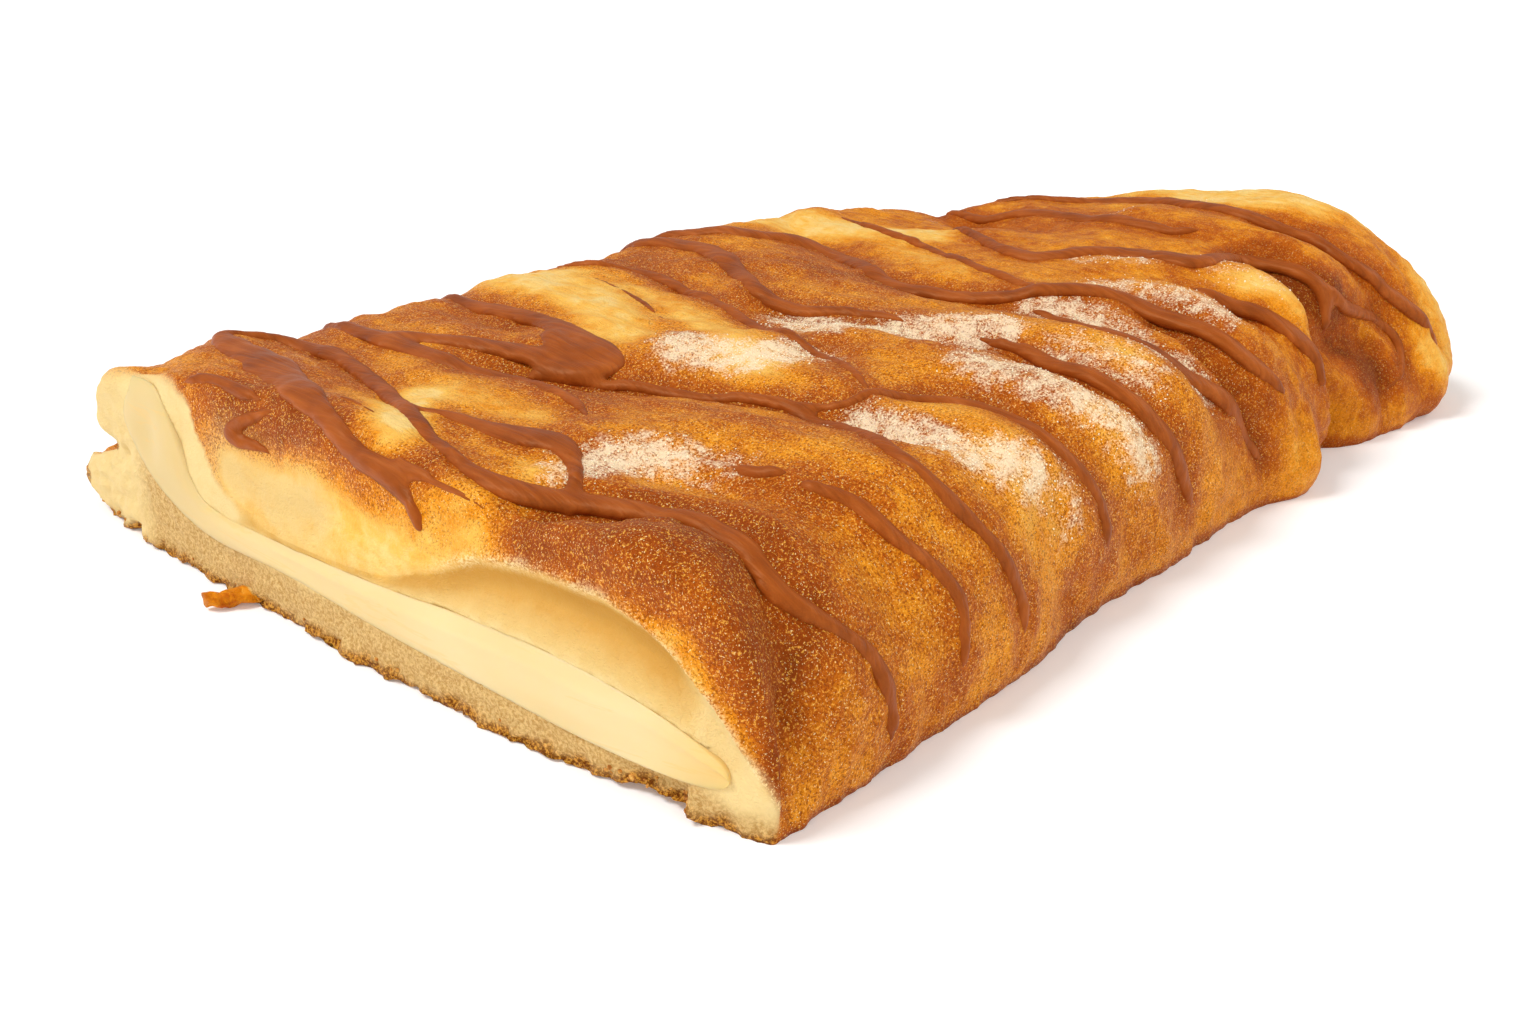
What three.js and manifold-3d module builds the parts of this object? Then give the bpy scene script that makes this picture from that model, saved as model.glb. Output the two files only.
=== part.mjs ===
// Cheese braid pastry: one half of a baked braid, cut straight across at one end.
// Millimetres, +Z up. X runs along the braid, from the cut end (-X) to the baked end (+X).
// The origin is the bottom centre of the whole piece's box.
//
// The pieces are the baked dough, the cheese filling that shows at the cut, and the lines of
// chocolate icing drizzled across the top. Places below are in a working frame along the
// braid; the group is centred on its box at the end.

import * as THREE from "three";
import { mergeVertices } from "three/addons/utils/BufferGeometryUtils.js";
import Module from "manifold-3d";

const wasm = await Module();
wasm.setup();

// Driving dimensions of the dough
const CUT_X = -105.5;
const FAR_X = 107.5;
const FRONT_Y = -75.5;
const BACK_Y = 66;
const CREST = 30.5;            // height of the top near the cut
const FRONT_ROUND = 24;        // shoulder of each side, measured in from its wall
const BACK_ROUND = 26;
const FAR_ROUND = 20;
const FULLNESS = 2.4;          // power of the shoulder curve: 2 is round, more is squarer

// The base sheet sticks out behind the back wall as a low foot
const FOOT = 9.5;
const FOOT_TOP = 6;            // where the foot starts to slope in
const FOOT_SLOPE = 8;          // height over which it slopes in to the wall

// The front wall draws in at the floor
const FRONT_TUCK = 2;
const TUCK_TOP = 14;

// The baked end slants back towards the back wall, from here on
const SLANT_START_Y = -5;
const SLANT = 66;
const SLANT_BEND = 1.05;       // 1 is straight, more is rounder

// The cut curves in towards the front wall, from here on
const BOW_START_Y = 18;
const BOW = 6;

// The cut edge is sharp at its sides and droops most in the middle of the width
const CUT_ROUND = 2.5;
const CUT_DROOP = 7.5;
const CUT_DROOP_REACH = 26;

// The baked end is higher, most of all over its middle
const FAR_RISE = 4.5;
const RISE_START_X = 10;
const RISE_RUN = 80;
const RISE_CENTRE_Y = -30;
const RISE_REACH = 45;

// The back of the top is lower, a little at the cut and more at the baked end
const DROP_START_Y = 25;
const DROP_RUN = 35;
const CUT_DROP_X = -60;
const CUT_DROP_RUN = 35;
const FAR_DROP = 4;
const FAR_DROP_RUN = 60;

// Driving dimensions of the filling and the icing
const FILLING_LENGTH = 148;     // it stops short of the pinched strips of the baked end
const FILLING_COVER = 4;       // least dough over the filling, before folds
const GAP = 0.3;               // clearance between neighbouring pieces
const ICING_SINK = 0.3;        // how far a line's centre lies under the crust
const ICING_STEP = 8;          // distance between the cross-sections of a line
const ICING_CLEAR_OF_CUT = 12; // least distance from the cut to the heart a line is drawn to
const PAST_CUT = 12;           // how far the filling's solids reach out of the cut

// The lick of crust at the foot of the cut
const SPUR_LENGTH = 14;
const SPUR_WIDTH = 4;
const SPUR_THICKNESS = 2.4;
const SPUR_TURN = THREE.MathUtils.degToRad(-18);
const SPUR_CENTRE = [-104.5, 21];

const DOUGH_COLOUR = 0xc98334;
const CHEESE_COLOUR = 0xf8e6b0;
const ICING_COLOUR = 0x965532;

// Grids of the dough solid: along, across and up
const DOUGH_GRID = [44, 32, 5];
const PLAIN_GRID = [16, 20, 4];
const FILLING_SIDES = 40;
const ICING_SIDES = 3;         // in each half of a line's cross-section
const SPUR_GRID = [12, 8];

// How the crust is found
const SEARCH_REACH = 1.3;      // as a share of the way from the heart to the grid's border
const SEARCH_STEPS = 30;
const SLOPE_STEP = 0.2;
const LEAST_RISE = 0.2;        // no crust above the base comes lower than this

// How a fold runs
const FOLD_STEPS = 24;         // straight stretches along it
const FOLD_START = 6;          // stretches over which it deepens from nothing
const FOLD_SHARPNESS = 1.7;    // 1 gives straight sides, more a narrower groove

// Folds between the braid's strips: depth, reach to each side, and a route over the crust
const FOLDS = [
  {
    depth: 3,
    reach: 9,
    route: [[-106, -26, 26], [-96, -37, 30], [-88, -52, 30], [-91, -70, 24], [-97, -76, 2]],
  },
  { depth: 1.6, reach: 10, route: [[-87, -30, 30], [-80, -41, 30], [-75, -62, 28], [-68, -76, 2]] },
  {
    depth: 3,
    reach: 11,
    route: [[-68, 25, 30], [-66, 6, 30], [-50, -30, 30], [-47, -52, 30], [-35, -76, 4]],
  },
  { depth: 2.4, reach: 10, route: [[-43, -36, 30], [-32, -47, 30], [-28, -62, 28], [-15, -76, 2]] },
  {
    depth: 1.5,
    reach: 11,
    route: [[-40, -38, 30], [-26, -18, 30], [-17, 24, 30], [-9, 45, 29], [-4, 66, 4]],
  },
  {
    depth: 2.6,
    reach: 11,
    route: [[-17, 16, 30], [-16, -4, 30], [-8, -38, 30], [-11, -60, 28], [-2, -76, 5]],
  },
  {
    depth: 2.2,
    reach: 10,
    route: [[22, 14, 31], [11, -8, 31], [13, -45, 31], [12, -66, 26], [20, -76, 4]],
  },
  { depth: 4, reach: 8, route: [[27, -37, 31], [20, -58, 30], [20, -70, 22], [26, -76, 2]] },
  { depth: 3, reach: 8, route: [[37, -51, 32], [37, -62, 29], [43, -76, 3]] },
  { depth: 6, reach: 9, route: [[63, -37, 34], [58, -58, 32], [52, -72, 20], [54, -77, 3]] },
  { depth: 3, reach: 9, route: [[78, -30, 35], [76, -55, 33], [80, -72, 18], [84, -77, 2]] },
  { depth: 2, reach: 11, route: [[-90, -5, 30], [-84, 18, 30], [-78, 45, 29], [-72, 66, 4]] },
  { depth: 1.6, reach: 10, route: [[-60, 4, 30], [-52, 30, 30], [-44, 50, 28], [-38, 66, 4]] },
  { depth: 2, reach: 10, route: [[9, -6, 31], [20, 14, 31], [36, 44, 28], [46, 60, 4]] },
  { depth: 2, reach: 10, route: [[52, -24, 33], [58, 4, 32], [68, 30, 28], [76, 44, 4]] },
];

// Swellings (positive) and hollows (negative) of the crust: height, radius and centre
const SWELLS = [
  { height: -2.5, radius: 16, centre: [12, -76, 4] },
  { height: 2, radius: 9, centre: [36, -76, 8] },
  { height: 2, radius: 9, centre: [70, -76, 10] },
  { height: 3, radius: 12, centre: [100, -70, 13] },
  { height: 3, radius: 9, centre: [86, -77, 6] },
  { height: 3, radius: 7, centre: [-106, 60, 28] },
  { height: -7, radius: 9, centre: [61, -72, 22] },
  { height: 2, radius: 13, centre: [-92, -60, 29] },
  { height: 1.5, radius: 16, centre: [-96, 0, 29] },
  { height: -2.5, radius: 26, centre: [42, 32, 30] },
  { height: 2.5, radius: 18, centre: [100, -14, 30] },
];

// Icing lines: radius and a route over the crust
const ICING = [
  { radius: 1.5, route: [[-102, 38, 30], [-98, 34, 30], [-100, 20, 30], [-103, 6, 29]] },
  { radius: 2.6, route: [[-84, 52, 29], [-90, 36, 30], [-94, 19, 30], [-98, 4, 30], [-103, -14, 28]] },
  {
    radius: 2.1,
    route: [[-78, 52, 29], [-79, 35, 30], [-86, 12, 30], [-94, -14, 30], [-94, -36, 30],
      [-88, -54, 30], [-88, -67, 25], [-80, -76, 14], [-77, -77, 6]],
  },
  { radius: 1.9, route: [[-82, 6, 30], [-85, -8, 30], [-83, -20, 30], [-88, -29, 30]] },
  { radius: 2, route: [[-71, 52, 29], [-72, 32, 30], [-75, 12, 30], [-72, -4, 30], [-76, -22, 30]] },
  { radius: 3.2, route: [[-66, 42, 30], [-66, 20, 30], [-59, 4, 30], [-55, 22, 30], [-48, 42, 29]] },
  {
    radius: 2,
    route: [[-64, -9, 30], [-57, -22, 30], [-52, -36, 30], [-56, -54, 30], [-58, -65, 27],
      [-51, -75, 16], [-50, -77, 7]],
  },
  { radius: 1.9, route: [[-76, -46, 30], [-73, -56, 30], [-71, -64, 28], [-65, -74, 18], [-64, -77, 8]] },
  { radius: 1.1, route: [[-22, 44, 29], [-29, 28, 30], [-33, 12, 30], [-39, -2, 30]] },
  {
    radius: 1.8,
    route: [[-10, 52, 28], [-14, 33, 30], [-22, 8, 30], [-26, -12, 30], [-34, -30, 30], [-41, -42, 30],
      [-34, -54, 30], [-32, -66, 27], [-27, -75, 16], [-27, -77, 10]],
  },
  { radius: 2.2, route: [[2, 50, 29], [0, 28, 30], [-10, 8, 30], [-16, -8, 30], [-12, -20, 30]] },
  {
    radius: 2.1,
    route: [[-10, -32, 30], [-11, -48, 30], [-13, -62, 28], [-8, -72, 20], [-4, -77, 10]],
  },
  {
    radius: 2.2,
    route: [[16, 46, 29], [22, 32, 30], [14, 8, 31], [6, -10, 30], [14, -28, 30], [22, -42, 31],
      [19, -58, 30], [24, -70, 22]],
  },
  { radius: 2, route: [[12, -38, 31], [8, -52, 30], [7, -64, 28], [14, -75, 15]] },
  { radius: 1.3, route: [[44, 24, 31], [36, 8, 31], [27, -8, 31], [25, -24, 31]] },
  {
    radius: 2,
    route: [[52, 30, 30], [43, 14, 31], [38, -12, 31], [47, -30, 32], [52, -46, 33], [60, -56, 33],
      [56, -68, 26]],
  },
  { radius: 1.8, route: [[33, -50, 31], [35, -60, 30], [40, -69, 24], [42, -75, 16]] },
  { radius: 1.6, route: [[64, 24, 31], [66, 4, 32], [60, -12, 33], [64, -28, 34]] },
  {
    radius: 1.8,
    route: [[78, 18, 31], [84, -4, 34], [84, -28, 35], [82, -50, 34], [84, -66, 29], [92, -76, 18]],
  },
];

// Cross-section of the filling at the cut, as places across and up
const FILLING_OUTLINE = [
  [-66, 6], [-50, 5.5], [-30, 6.5], [-10, 7.5], [10, 8.5], [28, 8], [38, 9.5], [46, 13], [51, 17],
  [54.5, 23], [51, 27], [43, 26.5], [38, 21], [34, 15.5], [28, 12.5], [8, 11.5], [-12, 12.5],
  [-28, 14.5], [-45, 17], [-60, 16.5], [-68, 12],
];

function smoothStep(value) {
  const t = THREE.MathUtils.clamp(value, 0, 1);
  return t * t * (3 - 2 * t);
}

// Plan outline of the two ends
function farEdge(y) {
  const back = THREE.MathUtils.clamp((y - SLANT_START_Y) / (BACK_Y - SLANT_START_Y), 0, 1);
  return FAR_X - SLANT * back ** SLANT_BEND;
}

function cutEdge(y) {
  const forward = THREE.MathUtils.clamp((BOW_START_Y - y) / (BOW_START_Y - FRONT_Y), 0, 1);
  return CUT_X + BOW * forward ** 2;
}

function cutRound(y) {
  return CUT_ROUND + CUT_DROOP * Math.exp(-((y / CUT_DROOP_REACH) ** 2));
}

function topHeight(x, y) {
  const overMiddle = Math.exp(-(((y - RISE_CENTRE_Y) / RISE_REACH) ** 2));
  const rise = FAR_RISE * smoothStep((x - RISE_START_X) / RISE_RUN) * overMiddle;
  const drop = smoothStep((CUT_DROP_X - x) / CUT_DROP_RUN) + FAR_DROP * smoothStep(x / FAR_DROP_RUN);
  return CREST + rise - drop * smoothStep((y - DROP_START_Y) / DROP_RUN);
}

// About the distance in millimetres outside the plain crust, before folds and swellings
function outsideCrust(x, y, z) {
  const tuck = FRONT_TUCK * THREE.MathUtils.clamp(1 - z / TUCK_TOP, 0, 1) ** 2;
  const backWall = BACK_Y + FOOT * (1 - smoothStep((z - FOOT_TOP) / FOOT_SLOPE));
  const front = (FRONT_Y + tuck + FRONT_ROUND - y) / FRONT_ROUND;
  const back = (y - backWall + BACK_ROUND) / BACK_ROUND;
  const far = (x - farEdge(y) + FAR_ROUND) / FAR_ROUND;
  const cut = (cutEdge(y) + cutRound(y) - x) / cutRound(y);
  const across = Math.max(front, back, 0) ** FULLNESS;
  const along = Math.max(far, cut, 0) ** FULLNESS;
  const up = (Math.max(z, 0) / topHeight(x, y)) ** FULLNESS;
  return ((across + along + up) ** (1 / FULLNESS) - 1) * CREST;
}

function outwardAt(point) {
  const slope = (dx, dy, dz) =>
    outsideCrust(point.x + dx, point.y + dy, point.z + dz) -
    outsideCrust(point.x - dx, point.y - dy, point.z - dz);
  const alongX = slope(SLOPE_STEP, 0, 0);
  const alongY = slope(0, SLOPE_STEP, 0);
  const alongZ = slope(0, 0, SLOPE_STEP);
  return new THREE.Vector3(alongX, alongY, alongZ).normalize();
}

function curveThrough(route) {
  const places = route.map((place) => new THREE.Vector3(...place));
  return new THREE.CatmullRomCurve3(places, false, "centripetal");
}

const foldPaths = FOLDS.map(({ depth, reach, route }) => {
  return { depth, reach, points: curveThrough(route).getPoints(FOLD_STEPS) };
});

// How far the folds and swellings move the crust in (positive) or out at a point
function reliefAt(point) {
  let relief = 0;
  const segment = new THREE.Line3();
  const nearest = new THREE.Vector3();
  for (const { depth, reach, points } of foldPaths) {
    for (let i = 1; i < points.length; i += 1) {
      segment.set(points[i - 1], points[i]);
      segment.closestPointToPoint(point, true, nearest);
      const fade = smoothStep(i / FOLD_START);
      const closeness = THREE.MathUtils.clamp(1 - nearest.distanceTo(point) / reach, 0, 1);
      relief = Math.max(relief, depth * fade * closeness ** FOLD_SHARPNESS);
    }
  }
  for (const { height, radius, centre } of SWELLS) {
    const away = new THREE.Vector3(...centre).distanceTo(point);
    relief -= height * Math.exp(-((away / radius) ** 2));
  }
  return relief;
}

function manifoldFrom(geometry) {
  geometry.deleteAttribute("normal");
  geometry.deleteAttribute("uv");
  const merged = mergeVertices(geometry, 1e-4);
  const mesh = new wasm.Mesh({
    numProp: 3,
    vertProperties: new Float32Array(merged.getAttribute("position").array),
    triVerts: new Uint32Array(merged.getIndex().array),
  });
  return new wasm.Manifold(mesh);
}

function geometryFrom(solid) {
  const mesh = solid.getMesh();
  const corners = new THREE.BufferAttribute(new Float32Array(mesh.vertProperties), 3);
  const triangles = new THREE.BufferAttribute(new Uint32Array(mesh.triVerts), 1);
  const geometry = new THREE.BufferGeometry();
  geometry.setAttribute("position", corners);
  geometry.setIndex(triangles);
  geometry.computeVertexNormals();
  return geometry;
}

// Where a ray from the heart of the dough through a point leaves the crust
function crustPoint(heart, through, grow, hasRelief) {
  const ray = through.clone().sub(heart);
  let inside = 0;
  let outside = SEARCH_REACH;
  for (let i = 0; i < SEARCH_STEPS; i += 1) {
    const middle = (inside + outside) / 2;
    const at = heart.clone().addScaledVector(ray, middle);
    if (outsideCrust(at.x, at.y, at.z) < grow) {
      inside = middle;
    } else {
      outside = middle;
    }
  }
  const point = heart.clone().addScaledVector(ray, inside);
  if (hasRelief) {
    point.addScaledVector(outwardAt(point), -reliefAt(point));
  }
  point.z = through.z === 0 ? 0 : Math.max(point.z, LEAST_RISE);
  return point;
}

// The dough as a block whose grid is drawn out to the crust. Growing it moves the whole crust
// out, and a negative grow moves it in.
function doughSolid(grow, grid, hasRelief) {
  const geometry = new THREE.BoxGeometry(1, 1, 1, ...grid);
  const position = geometry.getAttribute("position");
  for (let i = 0; i < position.count; i += 1) {
    const u = position.getX(i) + 0.5;
    const v = position.getY(i) + 0.5;
    const w = position.getZ(i) + 0.5;
    const y = THREE.MathUtils.lerp(FRONT_Y, BACK_Y + FOOT, v);
    const x = THREE.MathUtils.lerp(cutEdge(y), farEdge(y), u);
    const corner = new THREE.Vector3(x, y, w * CREST);
    const heart = new THREE.Vector3(
      THREE.MathUtils.clamp(x, cutEdge(y) + cutRound(y), farEdge(y) - FAR_ROUND),
      THREE.MathUtils.clamp(y, FRONT_Y + FRONT_ROUND, BACK_Y - BACK_ROUND),
      0,
    );
    const fraction = Math.max(
      w,
      (heart.y - y) / FRONT_ROUND,
      (y - heart.y) / (BACK_ROUND + FOOT),
      (heart.x - x) / cutRound(y),
      (x - heart.x) / FAR_ROUND,
    );
    if (fraction > 1e-6) {
      const border = corner.clone().sub(heart).divideScalar(fraction).add(heart);
      const crust = crustPoint(heart, border, grow, hasRelief);
      corner.copy(heart).lerp(crust, fraction);
    }
    position.setXYZ(i, corner.x, corner.y, corner.z);
  }
  return manifoldFrom(geometry);
}

// A bar along X with the filling's cross-section, grown sideways
function fillingBar(grow) {
  const places = [...FILLING_OUTLINE, FILLING_OUTLINE[0]];
  const spline = new THREE.SplineCurve(places.map((place) => new THREE.Vector2(...place)));
  const outline = [];
  for (let i = 0; i < FILLING_SIDES; i += 1) {
    const along = spline.getTangent(i / FILLING_SIDES);
    const outward = new THREE.Vector2(along.y, -along.x);
    outline.push(spline.getPoint(i / FILLING_SIDES).addScaledVector(outward, grow));
  }
  const depth = PAST_CUT + FILLING_LENGTH + grow;
  const bar = new THREE.ExtrudeGeometry(new THREE.Shape(outline), { depth, bevelEnabled: false });
  const acrossUpAlong = new THREE.Matrix4().makeBasis(
    new THREE.Vector3(0, 1, 0),
    new THREE.Vector3(0, 0, 1),
    new THREE.Vector3(1, 0, 0),
  );
  bar.applyMatrix4(acrossUpAlong);
  bar.translate(CUT_X - PAST_CUT, 0, 0);
  return manifoldFrom(bar);
}

// The filling's bar, kept under its cover of dough but running out past the cut
function fillingPastCut(grow) {
  const covered = doughSolid(grow - FILLING_COVER, PLAIN_GRID, false);
  return fillingBar(grow).intersect(covered.translate([-PAST_CUT, 0, 0]));
}

// A lick of crust that broke out of the base at the cut and lies on the surface
function spur() {
  const lick = new THREE.SphereGeometry(1, ...SPUR_GRID);
  lick.scale(SPUR_LENGTH / 2, SPUR_WIDTH / 2, SPUR_THICKNESS / 2);
  lick.rotateZ(SPUR_TURN);
  lick.translate(SPUR_CENTRE[0], SPUR_CENTRE[1], SPUR_THICKNESS / 2);
  return manifoldFrom(lick);
}

// The rough places of a route, put onto the crust and sunk a little under it
function pathOnCrust(route, crust) {
  const rough = curveThrough(route);
  const steps = Math.ceil(rough.getLength() / ICING_STEP);
  const ray = new THREE.Raycaster();
  const path = [];
  for (const place of rough.getSpacedPoints(steps)) {
    const heart = new THREE.Vector3(
      THREE.MathUtils.clamp(place.x, CUT_X + ICING_CLEAR_OF_CUT, farEdge(place.y) - FAR_ROUND),
      THREE.MathUtils.clamp(place.y, FRONT_Y + FRONT_ROUND, BACK_Y - BACK_ROUND),
      0,
    );
    const direction = place.clone().sub(heart).normalize();
    ray.set(heart, direction);
    const hits = ray.intersectObject(crust);
    path.push(hits[hits.length - 1].point.clone().addScaledVector(direction, -ICING_SINK));
  }
  return new THREE.CatmullRomCurve3(path, false, "centripetal");
}

function icingTube(path, radius) {
  const section = new THREE.Shape().absarc(0, 0, radius, 0, 2 * Math.PI);
  const steps = path.points.length - 1;
  return manifoldFrom(new THREE.ExtrudeGeometry(section, {
    steps,
    curveSegments: ICING_SIDES,
    extrudePath: path,
    bevelEnabled: false,
  }));
}

function largestBody(solid) {
  return solid.decompose().reduce((most, body) => (body.volume() > most.volume() ? body : most));
}

// Each line stands clear of the crust and of the lines drizzled before it
function icingLines(crust) {
  let taken = doughSolid(GAP, DOUGH_GRID, true);
  const lines = [];
  for (const { radius, route } of ICING) {
    const path = pathOnCrust(route, crust);
    lines.push(largestBody(icingTube(path, radius).subtract(taken)));
    taken = taken.add(icingTube(path, radius + GAP));
  }
  return lines;
}

function named(name, solid, colour, roughness) {
  const material = new THREE.MeshStandardMaterial({ color: colour, roughness, metalness: 0 });
  const mesh = new THREE.Mesh(geometryFrom(solid), material);
  mesh.name = name;
  return mesh;
}

const wholeDough = doughSolid(0, DOUGH_GRID, true);
const filling = fillingPastCut(0).intersect(doughSolid(0, PLAIN_GRID, false));
const dough = wholeDough.add(spur()).subtract(fillingPastCut(GAP));

const group = new THREE.Group();
group.add(named("pastry_dough", dough, DOUGH_COLOUR, 0.6));
group.add(named("cheese_filling", filling, CHEESE_COLOUR, 0.5));

// Rays from inside the dough have to meet the crust's inner side
const crust = named("crust", wholeDough, DOUGH_COLOUR, 0.6);
crust.material.side = THREE.DoubleSide;
icingLines(crust).forEach((line, index) => {
  const number = String(index + 1).padStart(2, "0");
  group.add(named(`icing_line_${number}`, line, ICING_COLOUR, 0.45));
});

const box = new THREE.Box3().setFromObject(group);
const centre = box.getCenter(new THREE.Vector3());
group.position.set(-centre.x, -centre.y, -box.min.z);

export default group;
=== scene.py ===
import math

import bmesh
import bpy
import numpy as np
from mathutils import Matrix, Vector, noise
from mathutils.bvhtree import BVHTree
from mathutils.kdtree import KDTree


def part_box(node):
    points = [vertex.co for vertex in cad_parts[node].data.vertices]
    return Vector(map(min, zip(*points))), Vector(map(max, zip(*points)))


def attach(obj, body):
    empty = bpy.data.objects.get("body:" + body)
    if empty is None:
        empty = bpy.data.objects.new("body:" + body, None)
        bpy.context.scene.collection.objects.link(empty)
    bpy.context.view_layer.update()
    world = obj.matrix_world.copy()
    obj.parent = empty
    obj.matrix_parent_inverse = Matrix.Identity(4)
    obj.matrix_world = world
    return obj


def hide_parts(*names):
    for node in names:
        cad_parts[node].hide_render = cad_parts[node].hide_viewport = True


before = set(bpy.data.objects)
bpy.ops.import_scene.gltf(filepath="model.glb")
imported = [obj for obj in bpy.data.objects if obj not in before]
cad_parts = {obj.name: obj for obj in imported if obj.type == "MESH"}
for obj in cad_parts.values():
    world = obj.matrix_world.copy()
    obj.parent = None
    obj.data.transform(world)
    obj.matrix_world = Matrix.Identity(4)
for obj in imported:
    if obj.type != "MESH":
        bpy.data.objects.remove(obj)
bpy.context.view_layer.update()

# Half a cheese braid, cut across at -X. Shapes are worked out in millimetres in the braid's
# working frame and go to metres in the row frame as each mesh is made.

# ---------------------------------------------------------------- sizes of the dough

CUT_X, FAR_X = -105.5, 107.5
FRONT_Y, BACK_Y = -75.5, 66
CREST = 30.5
FRONT_ROUND, BACK_ROUND, FAR_ROUND = 24, 26, 20
FULLNESS = 2.4
FOOT, FOOT_TOP, FOOT_SLOPE = 9.5, 6, 8
FRONT_TUCK, TUCK_TOP = 2, 14
SLANT_START_Y, SLANT, SLANT_BEND = -5, 66, 1.05
BOW_START_Y, BOW = 18, 6
CUT_ROUND, CUT_DROOP, CUT_DROOP_REACH = 2.5, 7.5, 26
FAR_RISE, RISE_START_X, RISE_RUN, RISE_CENTRE_Y, RISE_REACH = 4.5, 10, 80, -30, 45
DROP_START_Y, DROP_RUN, CUT_DROP_X, CUT_DROP_RUN = 25, 35, -60, 35
FAR_DROP, FAR_DROP_RUN = 4, 60
SPUR_TIP_X = -111.2

FLANGE_Y, FLANGE_RUN, FLANGE_TOP = 57, 6, 13.5
FOLD_DEEPENING = 1.3
PAST_CUT = 12                  # how far the room for the cheese runs out in front of the cut

GRID = (228, 186, 44)          # cells of the dough along, across and up
EVEN_CELLS, CROWDING = 0.08, 1.6
SAME = 0.01                    # places no further apart than this are one place

FILLING_END, WALL_BEHIND = 42, 16
SNUG, FACE_PROUD = 0.06, 0.22  # clearance of the cheese in the dough, and how far its face laps over
COLUMNS, ROWS = 110, 14        # cells of the cheese's face, across and up
BODY_STOPS = (CUT_X + 14, CUT_X + 30, -40, -10, 20)

EVEN_BAKE, FOLD_SHADE, LICK_BAKE, ICING_SHADE, SOLE_BAKE = 0.46, 0.09, 0.47, 0.13, 0.25
BEAD_STEP, LARGEST_BEAD, SMALLEST_BEAD, ROW_GAP = 0.35, 1.35, 0.32, 0.5
EVENED = 4                     # beads to each side over which a line of icing is evened
AIM_IN = 12                    # how far behind the cut the places are that icing is dropped towards

# Where the working frame lies in the row frame
dough_low, dough_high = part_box("pastry_dough")
SHIFT = np.array([dough_low.x * 1000 - SPUR_TIP_X, dough_high.y * 1000 - BACK_Y - FOOT, 0.0])

# Folds between the strips: depth, reach and a route over the crust
FOLDS = [
    (3, 9, [(-106, -26, 26), (-96, -37, 30), (-88, -52, 30), (-91, -70, 24), (-97, -76, 2)]),
    (1.6, 10, [(-87, -30, 30), (-80, -41, 30), (-75, -62, 28), (-68, -76, 2)]),
    (3, 11, [(-68, 25, 30), (-66, 6, 30), (-50, -30, 30), (-47, -52, 30), (-35, -76, 4)]),
    (2.4, 10, [(-43, -36, 30), (-32, -47, 30), (-28, -62, 28), (-15, -76, 2)]),
    (1.5, 11, [(-40, -38, 30), (-26, -18, 30), (-17, 24, 30), (-9, 45, 29), (-4, 66, 4)]),
    (2.6, 11, [(-17, 16, 30), (-16, -4, 30), (-8, -38, 30), (-11, -60, 28), (-2, -76, 5)]),
    (2.2, 10, [(22, 14, 31), (11, -8, 31), (13, -45, 31), (12, -66, 26), (20, -76, 4)]),
    (4, 8, [(27, -37, 31), (20, -58, 30), (20, -70, 22), (26, -76, 2)]),
    (3, 8, [(37, -51, 32), (37, -62, 29), (43, -76, 3)]),
    (6, 9, [(63, -37, 34), (58, -58, 32), (52, -72, 20), (54, -77, 3)]),
    (3, 9, [(78, -30, 35), (76, -55, 33), (80, -72, 18), (84, -77, 2)]),
    (2.2, 5, [(88, -50, 34), (90, -66, 26), (90, -75, 14), (92, -77, 3)]),
    (1.8, 5, [(98, -46, 32), (99, -62, 24), (98, -72, 10), (99, -74, 2)]),
    (2.6, 6, [(70, -62, 28), (73, -72, 16), (72, -77, 4)]),
    (1.6, 5, [(48, -62, 28), (49, -72, 16), (48, -76, 6)]),
    (1.4, 4, [(32, -66, 26), (33, -73, 14), (31, -76, 5)]),
    (2, 11, [(-90, -5, 30), (-84, 18, 30), (-78, 45, 29), (-72, 66, 4)]),
    (1.6, 10, [(-60, 4, 30), (-52, 30, 30), (-44, 50, 28), (-38, 66, 4)]),
    (2, 10, [(9, -6, 31), (20, 14, 31), (36, 44, 28), (46, 60, 4)]),
    (2, 10, [(52, -24, 33), (58, 4, 32), (68, 30, 28), (76, 44, 4)]),
]

# Swellings (positive) and hollows of the crust: height, radius and centre
SWELLS = [
    (-2.5, 16, (12, -76, 4)), (-2.2, 16, (-24, -75, 3)), (3.3, 8, (36, -76, 5)), (-6.5, 7, (57, -74, 5)),
    (1.2, 7, (66, -77, 4)), (3, 12, (100, -70, 13)), (3, 9, (86, -77, 6)), (4.3, 6.5, (-106, 60, 26)),
    (-0.8, 7, (-104, 48, 29)), (1.5, 9, (-84, 53, 27)), (-2.2, 12, (-66, 42, 30)), (-7, 9, (61, -72, 22)),
    (-6.0, 8, (70, -67, 19)), (2, 13, (-92, -60, 29)), (1.5, 16, (-96, 0, 29)), (-2.3, 22, (50, 16, 30)),
    (3.2, 9, (38, 40, 27)), (-2.2, 14, (82, -4, 35)), (2.6, 12, (88, -44, 35)), (1.4, 4.5, (-101, -53, 30)),
    (-1.2, 14, (-14, 50, 29)), (-2.0, 9, (62, 12, 31)), (1.6, 8, (-88, 56, 24)), (2.2, 8, (84, -78, 4)),
    (0.8, 7, (92, -78, 4)), (2.2, 5, (-103, -76, 2)), (-2.4, 10, (98, -60, 26)),
]

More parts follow.
